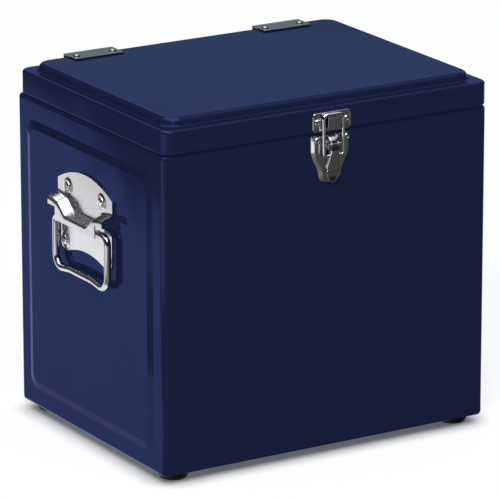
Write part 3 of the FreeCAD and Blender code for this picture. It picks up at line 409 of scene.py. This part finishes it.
def boss(along, z, screws):
    """Height of the pressed round boss under each screw."""
    rise = 0.0
    for screw_along, screw_z in screws:
        distance = math.hypot(along - screw_along, z - screw_z)
        rise += BOSS_RISE * (1 - smooth(BOSS_TOP_RADIUS, BOSS_FOOT_RADIUS, distance))
    return rise


def hood_section():
    """The hood's step as (out, drop, tilt), from the plate down to the flap."""
    section = []
    for a in evenly(0.0, HOOD_TURN, FILLET_ROWS):
        section.append((HOOD_FILLET * (1 - math.cos(a)), HOOD_FILLET * math.sin(a), a))
    out, drop, _ = section[-1]
    out += HOOD_SLOPE * math.sin(HOOD_TURN)
    drop += HOOD_SLOPE * math.cos(HOOD_TURN)
    for a in evenly(HOOD_TURN, 0.0, CREST_ROWS):
        section.append((out + HOOD_CREST * (math.cos(a) - math.cos(HOOD_TURN)),
                        drop + HOOD_CREST * (math.sin(HOOD_TURN) - math.sin(a)), a))
    return section


def arch_top(along, half):
    """Arched upper edge of a plate of this half width."""
    return SHOULDERS + ARCH_RISE * (1 - (along / half) ** 2)


def crease_height(along):
    """Where the front plate folds out into the hood."""
    return CREASE_MIDDLE + sum(rise * smooth(start, end, abs(along)) for start, end, rise in CREASE_RISES)


def make_front_plate(side):
    """Arched plate that folds out into the hood, with a flap hanging over the pivots."""
    at = handle_space(side)
    face = 2 * HANDLE_SHEET
    wing = spread(FLAP_HALF + FLAP_CUT, PLATE_HALF, PLATE_STEP)
    columns = [-y for y in wing[::-1]] + spread(-FLAP_HALF, FLAP_HALF, PLATE_STEP) + wing
    outer, inner = [], []
    for along in columns:
        top, crease = arch_top(along, PLATE_HALF), crease_height(along)
        low = FLAP_LOW if abs(along) <= FLAP_HALF else WING_LOW
        shown, hidden = [], []
        for z in evenly(top, crease, PLATE_ROWS):
            shown.append(at(face + boss(along, z, UPPER_SCREWS), along, z))
            hidden.append(at(face - HANDLE_SHEET, along, z))
        for out, drop, tilt in hood_section()[1:]:
            z = crease - drop
            shown.append(at(face + out, along, z))
            hidden.append(at(face + out - HANDLE_SHEET * math.cos(tilt), along,
                             z - HANDLE_SHEET * math.sin(tilt)))
        for z in evenly(crease - HOOD_DROP, low, FLAP_ROWS)[1:]:
            shown.append(at(face + HOOD_RISE, along, z))
            hidden.append(at(face + HOOD_RISE - HANDLE_SHEET, along, z))
        outer.append(shown)
        inner.append(hidden)
    verts, faces = sheet(outer, inner)
    make_piece("handle_front_plate_" + side + "_pressed", verts, faces, "handle_steel", "chest",
               "handle_front_plate_" + side)


def lobe_bottom(along):
    """Lower edge of the back plate: a wide arch between two rounded lobes."""
    across = abs(along)
    if across > LOBE_MIDDLE:
        return LOBE_HEIGHT - math.sqrt(max(LOBE_RADIUS ** 2 - (across - LOBE_MIDDLE) ** 2, 0.0))
    return max(LOWER_ARCH - LOWER_ARCH_BEND * across ** 2, LOBE_HEIGHT - LOBE_RADIUS)


def make_back_plate(side):
    """Plate on the panel: arched like the front one above, two lobes below, a waist behind the hood."""
    at = handle_space(side)
    lobe_edge = [LOBE_MIDDLE + LOBE_RADIUS * math.sin(math.radians(a)) for a in range(10, 91, 8)]
    ear = spread(LOBES_HALF, BACK_HALF, EAR_STEP)[1:]
    right = spread(WAIST_HALF, LOBE_MIDDLE, PLATE_STEP) + lobe_edge + ear
    columns = [-y for y in right[::-1]] + spread(-WAIST_HALF, WAIST_HALF, WAIST_STEP)[1:-1] + right
    outer, inner = [], []
    for along in columns:
        low = lobe_bottom(min(abs(along), LOBES_HALF))
        top = arch_top(along, BACK_HALF) - TOP_SETBACK
        heights = evenly(low, LOBES_TOP, LOBE_ROWS) + evenly(LOBES_TOP, WAIST_TOP, WAIST_ROWS)[1:]
        heights += evenly(WAIST_TOP, top, TOP_ROWS)[1:]
        outer.append([at(HANDLE_SHEET + boss(along, z, LOWER_SCREWS), along, z) for z in heights])
        inner.append([at(0.0, along, z) for z in heights])

    def keep(i, j):
        """Whether the cell lies inside the outline: lobes below, waist between, ears above."""
        across = max(abs(columns[i]), abs(columns[i + 1])) - EDGE_SLACK
        if j < LOBE_ROWS:
            return across <= LOBES_HALF
        return across <= WAIST_HALF or j >= LOBE_ROWS + WAIST_ROWS

    verts, faces = sheet(outer, inner, keep)
    make_piece("handle_back_plate_" + side + "_pressed", verts, faces, "handle_steel", "chest",
               "handle_back_plate_" + side)


def screw_head(place, turn, rings=20, segments=64):
    """A pan head with a cross recess, the cross turned by an angle."""
    head = []
    for share in evenly(0.0, 1.0, rings)[1:]:
        r = SCREW_RADIUS * share
        height = SCREW_DOME * (1 - share ** DOME_FLATNESS) ** DOME_SHOULDER
        ring = []
        for angle in around(segments):
            a, b = abs(r * math.cos(angle - turn)), abs(r * math.sin(angle - turn))
            arm = min(max(a - CROSS_REACH, b - CROSS_HALF), max(b - CROSS_REACH, a - CROSS_HALF))
            recess = CROSS_DEPTH * (1 - smooth(*CROSS_WALL, arm)) * (1 - CROSS_TAPER * share)
            ring.append(place(r * math.cos(angle), r * math.sin(angle), max(height - recess, 0.0)))
        head.append(ring)
    head.append([place(SCREW_RADIUS * math.cos(a), SCREW_RADIUS * math.sin(a), -SCREW_SINK)
                 for a in around(segments)])
    return stacked(head)


def make_handle_screws(side):
    """Four screw heads: the upper two hold both plates, the lower two only the back plate."""
    at = handle_space(side)
    heads = []
    for number, (along, z) in enumerate(UPPER_SCREWS + LOWER_SCREWS):
        plates = 2 if (along, z) in UPPER_SCREWS else 1
        seat = plates * HANDLE_SHEET + BOSS_RISE
        place = lambda a, b, h, along=along, z=z, seat=seat: at(seat + h, along + a, z + b)
        heads.append(screw_head(place, FIRST_SCREW_TURN + NEXT_SCREW_TURN * number))
    verts, faces = joined(heads)
    make_piece("handle_screws_" + side + "_cross", verts, faces, "screw_steel", "chest",
               "handle_screws_" + side)


def make_bail(side):
    """Drop handle: two legs below the pivots and a grip between them, raised in the middle."""
    at = handle_space(side)
    half = [(BAIL_END, BAIL_PIVOT), (BAIL_REACH, BAIL_PIVOT), (BAIL_REACH, BAIL_LOW),
            (GRIP_HALF, BAIL_LOW + GRIP_RISE)]
    points = [at(BAIL_OUT, -y, z) for y, z in half] + [at(BAIL_OUT, y, z) for y, z in half[::-1]]
    verts, faces = rod(filleted(points, BAIL_BENDS), BAIL_RADIUS)
    make_piece("handle_bail_" + side + "_rod", verts, faces, "rod_steel", "handle_bail_" + side,
               "handle_bail_" + side)


for side in ("left", "right"):
    make_front_plate(side)
    make_back_plate(side)
    make_handle_screws(side)
    make_bail(side)

# ---------------------------------------------------------------- hinges

HINGE_EDGE = 0.4
FLAT_WITHIN = math.radians(1)


def make_softened(node, body):
    """A hinge leaf's own shape with its stamped edges rounded."""
    source = frame["nodes"][node]
    shape = bmesh.new()
    shape.from_mesh(source.data)
    shape.transform(source.matrix_world)
    bmesh.ops.remove_doubles(shape, verts=shape.verts, dist=MERGE_WITHIN)
    bmesh.ops.dissolve_limit(shape, angle_limit=FLAT_WITHIN, verts=shape.verts, edges=shape.edges)
    shape.verts.index_update()
    verts = [v.co / MM for v in shape.verts]
    faces = [[v.index for v in face.verts] for face in shape.faces]
    shape.free()
    make_piece(node + "_stamped", verts, faces, "hinge_steel", body, node, sharp=12, edge=HINGE_EDGE,
               clamp=False)


for side in ("left", "right"):
    make_softened("hinge_lid_strap_" + side, "lid")
    make_softened("hinge_body_leaf_" + side, "chest")

# ---------------------------------------------------------------- feet


def make_foot(place):
    """Tapered rubber foot with a rounded rim and a recess for its screw."""
    node = "rubber_foot_" + place
    low, high = box_of(node)
    middle, radius, height = (low + high) / 2, (high.x - low.x) / 2, high.z - low.z
    wall = [(1.4, height), (1.5, height - 2.0), (3.6, 1.6), (4.1, 0.6), (5.0, 0.05)]
    recess = [(9.0, 0.0), (9.4, 0.3), (9.6, height / 2)]
    profile = [(ON_AXIS, height)] + [(radius - inset, h) for inset, h in wall + recess]
    profile.append((ON_AXIS, height / 2))
    verts, faces = turned(profile, lambda a, b, h: Vector((middle.x + a, middle.y + b, low.z + h)), 48)
    make_piece(node + "_moulded", verts, faces, "rubber", "chest", node)


for place in ("front_left", "front_right", "back_left", "back_right"):
    make_foot(place)

# ---------------------------------------------------------------- latch
# Places are in millimetres: across from the latch's middle, out from the body's front, up from the ground.

BASE_LOW, BASE_HIGH = box_of("latch_base")
CATCH_LOW, CATCH_HIGH = box_of("latch_catch")
LATCH_X = (BASE_LOW.x + BASE_HIGH.x) / 2
LATCH_GAP, LATCH_SHEET, LATCH_EDGE = 0.05, 1.2, 0.3
BODY_FRONT = BASE_HIGH.y + LATCH_GAP

RIVET_PROFILE = [(ON_AXIS, 1.15), (0.55, 1.2), (0.95, 1.55), (1.25, 1.85), (1.7, 1.95), (2.3, 1.8),
                 (2.9, 1.4), (3.35, 0.85), (3.6, 0.35), (3.65, 0.0), (ON_AXIS, 0.0)]
CATCH_RIVETS = [(-15.6, 331.5), (15.6, 331.5)]
BASE_RIVETS = [(-16.2, 313.8), (16.2, 313.8)]

# pressed walls as (inset, out), from the outline up and in over the rim
CATCH_WALL = [(0.0, 0.0), (0.0, 0.3), (0.12, 0.75), (0.4, 1.05), (0.9, 1.2), (1.9, 1.2), (2.3, 0.85)]
BASE_WALL = [(0.0, 0.05), (0.0, 0.5), (0.3, 0.9), (1.9, 3.3), (2.3, 3.75), (2.9, 3.95), (4.0, 4.0)]
CATCH_CORNER, SMALLEST_CORNER, CATCH_SUNK, BASE_FACE = 3.0, 0.3, 0.35, 4.0
# the hook leaves the plate just above its lower edge, then turns up and leans out to its lip
HOOK_ABOVE_EDGE, HOOK_ROOT_OUT, HOOK_TURN_OUT, HOOK_LIP_OUT = 0.9, 0.7, 3.9, 4.6
HOOK_HALF, HOOK_BEND, HOOK_LIP = 7.3, 2.4, 336.3

# the base narrows from its shoulders through an S on each side to a neck with a rounded tip
BASE_SHOULDER, BASE_NECK, BASE_TIP_RISE = 17.0, 12.6, 8.5
BASE_TOP_SHARE, BASE_SIDE_ROWS = 0.3, 12
TONGUE_PATH, TONGUE_THICK, TONGUE_HALF = [(3.2, 319.2), (4.2, 318.8), (9.7, 313.2)], 1.5, 5.4
PIVOT_OUT, PIVOT_Z = 8.5, 309.5
CHEEK_X, CHEEK_HALF_THICK = 3.6, 0.7
CHEEK_OUTLINE = [(3.6, PIVOT_Z + 4), (3.6, PIVOT_Z - 6), (PIVOT_OUT - 1, PIVOT_Z - 3.2),
                 (PIVOT_OUT + 2.2, PIVOT_Z - 1.6), (PIVOT_OUT + 2.7, PIVOT_Z + 1),
                 (PIVOT_OUT + 1, PIVOT_Z + 3)]

LEVER_SHEET = 1.0
LEVER_STATIONS = [  # height, half width of the face, out to the face
    (311.2, 3.4, 8.2), (309.4, 3.5, 9.5), (307.6, 3.6, 10.5), (305.8, 3.7, 11.2), (304.0, 3.8, 11.6),
    (302.4, 3.9, 11.5),
    (298.0, 4.5, 10.3), (293.0, 5.1, 8.9), (288.0, 5.8, 7.4), (284.2, 6.4, 6.2), (283.4, 6.5, 6.9),
    (282.4, 6.5, 6.8), (281.6, 6.4, 5.9), (279.6, 6.3, 6.0), (277.0, 5.8, 6.4), (274.6, 4.6, 6.8),
    (273.0, 3.0, 7.1), (272.1, 1.2, 7.3)]
FLANGE_DEEPEST, FLANGE_BACK, FLANGE_END = 3.0, 5.6, 283.0
WING, TAB_WING, WING_END = 1.2, 0.3, 282.0

LOOP_SIDE, LOOP_END, LOOP_RADIUS = 10.7, 4.8, 1.75
LOOP_PIVOT, LOOP_BAR, LOOP_BENDS = (7.8, 298.5), (6.7, 338.2), [2.4, 4, 4, 2.4]


def front(x, out, z):
    """Latch coordinates as world millimetres."""
    return Vector((LATCH_X + x, BODY_FRONT - out, z))


def domed_rivets(spots, seat, body, node):
    """Tubular rivets with a small dimple in the middle, on a plate this far out."""
    shells = [turned(RIVET_PROFILE, lambda a, b, h, x=x, z=z: front(x + a, seat + h, z + b))
              for x, z in spots]
    verts, faces = joined(shells)
    make_piece(node + "_domed", verts, faces, "rivet_chrome", body, node)


def rounded_box_ring(half, low, high, radius, inset, out):
    """Outline of a plate with round corners, drawn in by an inset."""
    ring = []
    radius = max(radius - inset, SMALLEST_CORNER)
    half, low, high = half - inset, low + inset, high - inset
    for x, z, start in ((half - radius, low + radius, 270), (half - radius, high - radius, 0),
                        (radius - half, high - radius, 90), (radius - half, low + radius, 180)):
        for degrees in range(start, start + 91, 15):
            angle = math.radians(degrees)
            ring.append(front(x + radius * math.cos(angle), out, z + radius * math.sin(angle)))
    return ring


def strip(path, thickness, half_width):
    """A bent strip across the latch, its middle following a path of (out, z)."""
    path = [Vector((out, z, 0)) for out, z in path]
    left, right = [], []
    for point, ahead in zip(path, tangents_of(path)):
        normal = Vector((-ahead.y, ahead.x, 0)) * (thickness / 2)
        left.append(point + normal)
        right.append(point - normal)
    outline = left + right[::-1]
    return stacked([[front(x, p.x, p.y) for p in outline] for x in (-half_width, half_width)])


def make_catch():
    """Plate on the lid with a sunk field, and the hook that the loop pulls down on."""
    half = (CATCH_HIGH.x - CATCH_LOW.x) / 2
    low, high = CATCH_LOW.z, CATCH_HIGH.z
    back = BODY_FRONT - CATCH_HIGH.y
    face = back + LATCH_SHEET
    plate = stacked([rounded_box_ring(half, low, high, CATCH_CORNER, inset, back + out)
                     for inset, out in CATCH_WALL])
    root = low + HOOK_ABOVE_EDGE
    path = filleted([(back + HOOK_ROOT_OUT, root, 0), (face + HOOK_TURN_OUT, root, 0),
                     (face + HOOK_LIP_OUT, HOOK_LIP, 0)], [HOOK_BEND])
    hook = strip([(p.x, p.y) for p in path], LATCH_SHEET, HOOK_HALF)
    verts, faces = joined([plate, hook])
    make_piece("latch_catch_pressed", verts, faces, "latch_chrome", "lid", "latch_catch", edge=LATCH_EDGE)
    domed_rivets(CATCH_RIVETS, face - CATCH_SUNK, "lid", "latch_catch_rivets")


def base_ring(inset, out):
    """The base's outline drawn in by an inset, less so at the top."""
    half = (BASE_HIGH.x - BASE_LOW.x) / 2 - inset
    top, tip = BASE_HIGH.z - inset * BASE_TOP_SHARE, BASE_LOW.z + inset
    shoulder = BASE_HIGH.z - BASE_SHOULDER
    neck = BASE_NECK - inset
    side = [(half, top), (half, (top + shoulder) / 2)]
    heights = evenly(shoulder + 1, tip + BASE_TIP_RISE, BASE_SIDE_ROWS)
    for share, z in zip(evenly(0.0, 1.0, BASE_SIDE_ROWS), heights):
        side.append((half + (neck - half) * smooth(0, 1, share), z))
    for degrees in range(15, 91, 15):
        angle = math.radians(degrees)
        side.append((neck * math.cos(angle), tip + BASE_TIP_RISE * (1 - math.sin(angle))))
    ring = side + [(-x, z) for x, z in side[-2::-1]]
    return [front(x, out, z) for x, z in ring]


def make_base():
    """Raised plate on the body with sloped walls, a tongue, and two cheeks that carry the lever."""
    shell = stacked([base_ring(inset, out) for inset, out in BASE_WALL])
    tongue = strip(TONGUE_PATH, TONGUE_THICK, TONGUE_HALF)
    cheeks = []
    for x in (-CHEEK_X, CHEEK_X):
        sides = (x - CHEEK_HALF_THICK, x + CHEEK_HALF_THICK)
        cheeks.append(stacked([[front(s, out, z) for out, z in CHEEK_OUTLINE] for s in sides]))
    verts, faces = joined([shell, tongue] + cheeks)
    make_piece("latch_base_pressed", verts, faces, "latch_chrome", "chest", "latch_base", edge=LATCH_EDGE)
    domed_rivets(BASE_RIVETS, BASE_FACE, "chest", "latch_base_rivets")


def make_lever():
    """Tapered channel that leans in towards its foot, with a cross ridge and a thumb tab."""
    outer, inner = [], []
    for z, half, out in LEVER_STATIONS:
        flange = max(min(FLANGE_DEEPEST, out - FLANGE_BACK), 0.0) if z > FLANGE_END else 0.0
        wing = WING if z > WING_END else TAB_WING
        # from the edge of the flange up its wall and round the bend, then across the face and back down
        section = [(-half - wing, out - 1.0 - flange), (-half - wing * 0.7, out - 1.0 - flange * 0.45),
                   (-half - wing * 0.35, out - 0.5), (-half + 0.3, out - 0.1), (-half + 1.2, out)]
        section += [(x, out) for x in (-half * 0.4, 0, half * 0.4)]
        section += [(-x, o) for x, o in section[4::-1]]
        outer.append([front(x, o, z) for x, o in section])
        inner.append([front(x * 0.86, o - LEVER_SHEET, z) for x, o in section])
    verts, faces = sheet(outer, inner)
    make_piece("latch_lever_pressed", verts, faces, "lever_chrome", "latch_lever", "latch_lever", sharp=50)


def make_loop():
    """Wire loop from its two ends in the lever up to the bar over the hook."""
    points = [front(-LOOP_END, *LOOP_PIVOT), front(-LOOP_SIDE, *LOOP_PIVOT), front(-LOOP_SIDE, *LOOP_BAR),
              front(LOOP_SIDE, *LOOP_BAR), front(LOOP_SIDE, *LOOP_PIVOT), front(LOOP_END, *LOOP_PIVOT)]
    verts, faces = rod(filleted(points, LOOP_BENDS), LOOP_RADIUS)
    make_piece("latch_loop_wire", verts, faces, "rivet_chrome", "latch_loop", "latch_loop")


make_catch()
make_base()
make_lever()
make_loop()

# ---------------------------------------------------------------- stage, light and camera

AZIMUTH, ELEVATION, ROLL = math.radians(31.283), math.radians(16.734), math.radians(-0.059)
DISTANCE = 4.539
LENS = 335.0
AIM_FROM_CENTRE = Vector((0.00516, 0.01225, -0.01375))
CENTRE = (cad_low + cad_high) / 2
HORIZON_BROWN, BACKDROP_BLUE, WHITE = (1.0, 0.53, 0.47), (0.67, 1.03, 1.15), (1.0, 1.0, 1.0)

# the room that shiny surfaces see; each pair of limits is a soft edge along one axis of the view direction
ROOM_DARK, ROOM_FILL = 0.03, 0.2
BACKDROP_LOW, BACKDROP_MIDDLE, BACKDROP_HIGH, BACKDROP_TOP = 0.02, 0.42, 1.4, 0.1
BACKDROP_FRONT, BACKDROP_RIGHT, BACKDROP_LEFT_SHARE = (0.0, 0.25), (0.05, 0.25), 0.12
FIRST_BAND, SECOND_BAND, TOP_BAND = (0.17, 0.25), (0.33, 0.45), (0.5, 0.62)
BROWN_TO_BLUE, BLUE_TO_WHITE = (0.17, 0.22), (0.33, 0.48)
SOFTBOX_TOP, SOFTBOX_RIGHT = 3.0, 0.8
SOFTBOX_EDGE, SOFTBOX_SIDE = (0.70, 0.80), (0.25, 0.35)

# the floor: white to the camera, and to shiny surfaces a bright table with soft edges, in metres
FLOOR_SIZE = 12
FLOOR_DARK, FLOOR_PALE, FLOOR_SEEN_MATT = (0.84, 0.84, 0.84), (0.86, 0.86, 0.86), (0.35, 0.35, 0.35, 1)
# painted contact shadow: the floor's glow falls from FLOOR_GLOW to FLOOR_SHADE where ambient occlusion
# within CONTACT_REACH is strong
FLOOR_SHADE, FLOOR_GLOW, CONTACT_REACH, CONTACT_RANGE = 0.1, 0.8, 0.025, (0.25, 0.9)
FLOOR_BRIGHT, FLOOR_FRONT_LEFT, FLOOR_FRONT_RIGHT = 1.05, 0.25, 0.08
TABLE_ACROSS, TABLE_EDGE, TABLE_FRONT = (0.957, 0.287), (-0.43, -0.39), (-0.135, -0.105)
TABLE_FAR, FAR_SHARE = (1.15, 1.3), 0.14
FAR_LEFT_BRIGHT, FAR_LEFT_EDGE, FAR_LEFT_START, FAR_LEFT_END = 0.9, (-0.8, -0.7), (-0.8, -0.65), (0.2, 0.35)
FRONT_FADE = (-0.45, 0.0)

# the lamp's direction seen from the middle of the box
LAMP_WAY, LAMP_DISTANCE, LAMP_SIZE, LAMP_POWER = Vector((-0.45, -0.62, 0.64)), 2.4, 0.35, 8


def math_node(nodes, links, operation, first, second):
    """A sum, product or maximum of two inputs, each a number or another node's output."""
    node = nodes.new("ShaderNodeMath")
    node.operation = operation
    for index, value in enumerate((first, second)):
        if isinstance(value, (int, float)):
            node.inputs[index].default_value = value
        else:
            links.new(value, node.inputs[index])
    return node.outputs[0]


def product(nodes, links, first, second):
    """One input times the other."""
    return math_node(nodes, links, "MULTIPLY", first, second)


def total(nodes, links, first, second):
    """One input plus the other."""
    return math_node(nodes, links, "ADD", first, second)


def split_axes(nodes, links, vector):
    """The three coordinates of a vector."""
    split = nodes.new("ShaderNodeSeparateXYZ")
    links.new(vector, split.inputs[0])
    return split.outputs["X"], split.outputs["Y"], split.outputs["Z"]


def mix_shaders(nodes, links, factor, first, second):
    """The first shader where the factor is 0 and the second where it is 1."""
    node = nodes.new("ShaderNodeMixShader")
    for index, source in enumerate((factor, first, second)):
        links.new(source, node.inputs[index])
    return node.outputs[0]


def floor_glow_and_tint(nodes, links, where):
    """What shiny surfaces see of the floor: a table bright behind and to the sides, dark in front."""
    x, y, _ = split_axes(nodes, links, where)
    across = total(nodes, links, product(nodes, links, x, TABLE_ACROSS[0]),
                   product(nodes, links, y, TABLE_ACROSS[1]))
    table = product(nodes, links, remap(nodes, links, across, 0.0, 1.0, *TABLE_EDGE),
                    remap(nodes, links, y, 0.0, 1.0, *TABLE_FRONT))
    beside = product(nodes, links, remap(nodes, links, y, 0.0, 1.0, *FAR_LEFT_START),
                     remap(nodes, links, y, 1.0, 0.0, *FAR_LEFT_END))
    far_left = product(nodes, links, remap(nodes, links, x, FAR_LEFT_BRIGHT, 0.0, *FAR_LEFT_EDGE), beside)
    far = remap(nodes, links, y, 1.0, FAR_SHARE, *TABLE_FAR)
    bright = product(nodes, links, math_node(nodes, links, "MAXIMUM", table, far_left), far)
    before = remap(nodes, links, x, FLOOR_FRONT_LEFT, FLOOR_FRONT_RIGHT, *FRONT_FADE)
    glow = total(nodes, links, before, product(nodes, links, bright, FLOOR_BRIGHT))
    return glow, blend_colours(nodes, links, far, HORIZON_BROWN, WHITE)


def make_stage():
    """White floor with a soft painted contact shadow; each kind of ray sees its own version of it."""
    bpy.ops.mesh.primitive_plane_add(size=FLOOR_SIZE, location=(0, 0, 0))
    floor = bpy.context.object
    floor.name = "studio_floor"
    material, nodes, links, shader = new_material("studio_floor")
    where = object_coordinates(nodes, links)
    mottle = noise(nodes, links, where, scale=3)
    links.new(blend_colours(nodes, links, mottle, FLOOR_DARK, FLOOR_PALE), shader.inputs["Base Color"])
    shader.inputs["Roughness"].default_value = 0.9
    shader.inputs["Specular IOR Level"].default_value = 0.0
    shader.inputs["Emission Color"].default_value = (1, 1, 1, 1)
    # painted shadow: ambient occlusion dims the floor's glow close to the box, a contact shadow painted into
    # the floor
    painted_contact_shadow = nodes.new("ShaderNodeAmbientOcclusion")
    painted_contact_shadow.inputs["Distance"].default_value = CONTACT_REACH
    links.new(remap(nodes, links, painted_contact_shadow.outputs["AO"], FLOOR_SHADE, FLOOR_GLOW, *CONTACT_RANGE),
              shader.inputs["Emission Strength"])
    seen = nodes.new("ShaderNodeEmission")
    glow, tint = floor_glow_and_tint(nodes, links, where)
    links.new(glow, seen.inputs["Strength"])
    links.new(tint, seen.inputs["Color"])
    dim = nodes.new("ShaderNodeBsdfDiffuse")
    dim.inputs["Color"].default_value = FLOOR_SEEN_MATT
    ray = nodes.new("ShaderNodeLightPath")
    other = mix_shaders(nodes, links, ray.outputs["Is Glossy Ray"], dim.outputs[0], seen.outputs[0])
    final = mix_shaders(nodes, links, ray.outputs["Is Camera Ray"], other, shader.outputs[0])
    links.new(final, nodes["Material Output"].inputs["Surface"])
    floor.data.materials.append(material)
    floor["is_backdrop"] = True


def make_room():
    """World light: a dark room with a pale backdrop and a softbox overhead for shiny surfaces."""
    world = bpy.data.worlds.new("studio")
    bpy.context.scene.world = world
    world.use_nodes = True
    nodes, links = world.node_tree.nodes, world.node_tree.links
    background = nodes["Background"]
    source = nodes.new("ShaderNodeTexCoord")
    x, y, z = split_axes(nodes, links, source.outputs["Generated"])
    behind = product(nodes, links, remap(nodes, links, y, 0.0, 1.0, *BACKDROP_FRONT),
                     remap(nodes, links, x, BACKDROP_LEFT_SHARE, 1.0, *BACKDROP_RIGHT))
    bands = total(nodes, links, remap(nodes, links, z, BACKDROP_LOW, BACKDROP_MIDDLE, *FIRST_BAND),
                  remap(nodes, links, z, 0.0, BACKDROP_HIGH - BACKDROP_MIDDLE, *SECOND_BAND))
    rise = product(nodes, links, bands, remap(nodes, links, z, 1.0, BACKDROP_TOP, *TOP_BAND))
    softbox = product(nodes, links, remap(nodes, links, z, 0.0, 1.0, *SOFTBOX_EDGE),
                      remap(nodes, links, x, SOFTBOX_TOP, SOFTBOX_RIGHT, *SOFTBOX_SIDE))
    bright = total(nodes, links, product(nodes, links, behind, rise), softbox)
    room = total(nodes, links, bright, ROOM_DARK)
    low_tint = blend_colours(nodes, links, remap(nodes, links, z, 0.0, 1.0, *BROWN_TO_BLUE),
                             HORIZON_BROWN, BACKDROP_BLUE)
    links.new(blend_colours(nodes, links, remap(nodes, links, z, 0.0, 1.0, *BLUE_TO_WHITE), low_tint, WHITE),
              background.inputs["Color"])
    ray = nodes.new("ShaderNodeLightPath")
    strength = total(nodes, links, product(nodes, links, ray.outputs["Is Glossy Ray"], room),
                     product(nodes, links, ray.outputs["Is Diffuse Ray"], ROOM_FILL))
    strength = math_node(nodes, links, "MAXIMUM", strength, ray.outputs["Is Camera Ray"])
    links.new(strength, background.inputs["Strength"])


def aimed(name, data, location, way, roll=0.0):
    """A lamp or camera that looks along a direction."""
    obj = bpy.data.objects.new(name, data)
    bpy.context.collection.objects.link(obj)
    obj.location = location
    obj.rotation_euler = (way.to_track_quat("-Z", "Y") @ Quaternion((0, 0, 1), roll)).to_euler()
    return obj


def make_lamp():
    """A square softbox at the front left, above the box."""
    data = bpy.data.lights.new("softbox_front", "AREA")
    data.shape = "RECTANGLE"
    data.size = data.size_y = LAMP_SIZE
    data.energy = LAMP_POWER
    aimed("softbox_front", data, CENTRE + LAMP_DISTANCE * LAMP_WAY, -LAMP_WAY)


def make_camera():
    """A long lens from the front left, as in a catalogue picture."""
    low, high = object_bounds()
    aim = (low + high) / 2 + AIM_FROM_CENTRE
    back = Vector((-math.sin(AZIMUTH) * math.cos(ELEVATION), -math.cos(AZIMUTH) * math.cos(ELEVATION),
                   math.sin(ELEVATION)))
    data = bpy.data.cameras.new("camera")
    data.lens = LENS
    data.sensor_width = 36
    data.clip_end = 50
    bpy.context.scene.camera = aimed("camera", data, aim + back * DISTANCE, -back, ROLL)


make_stage()
make_room()
make_lamp()
make_camera()
bpy.context.scene.view_settings.view_transform = "Standard"
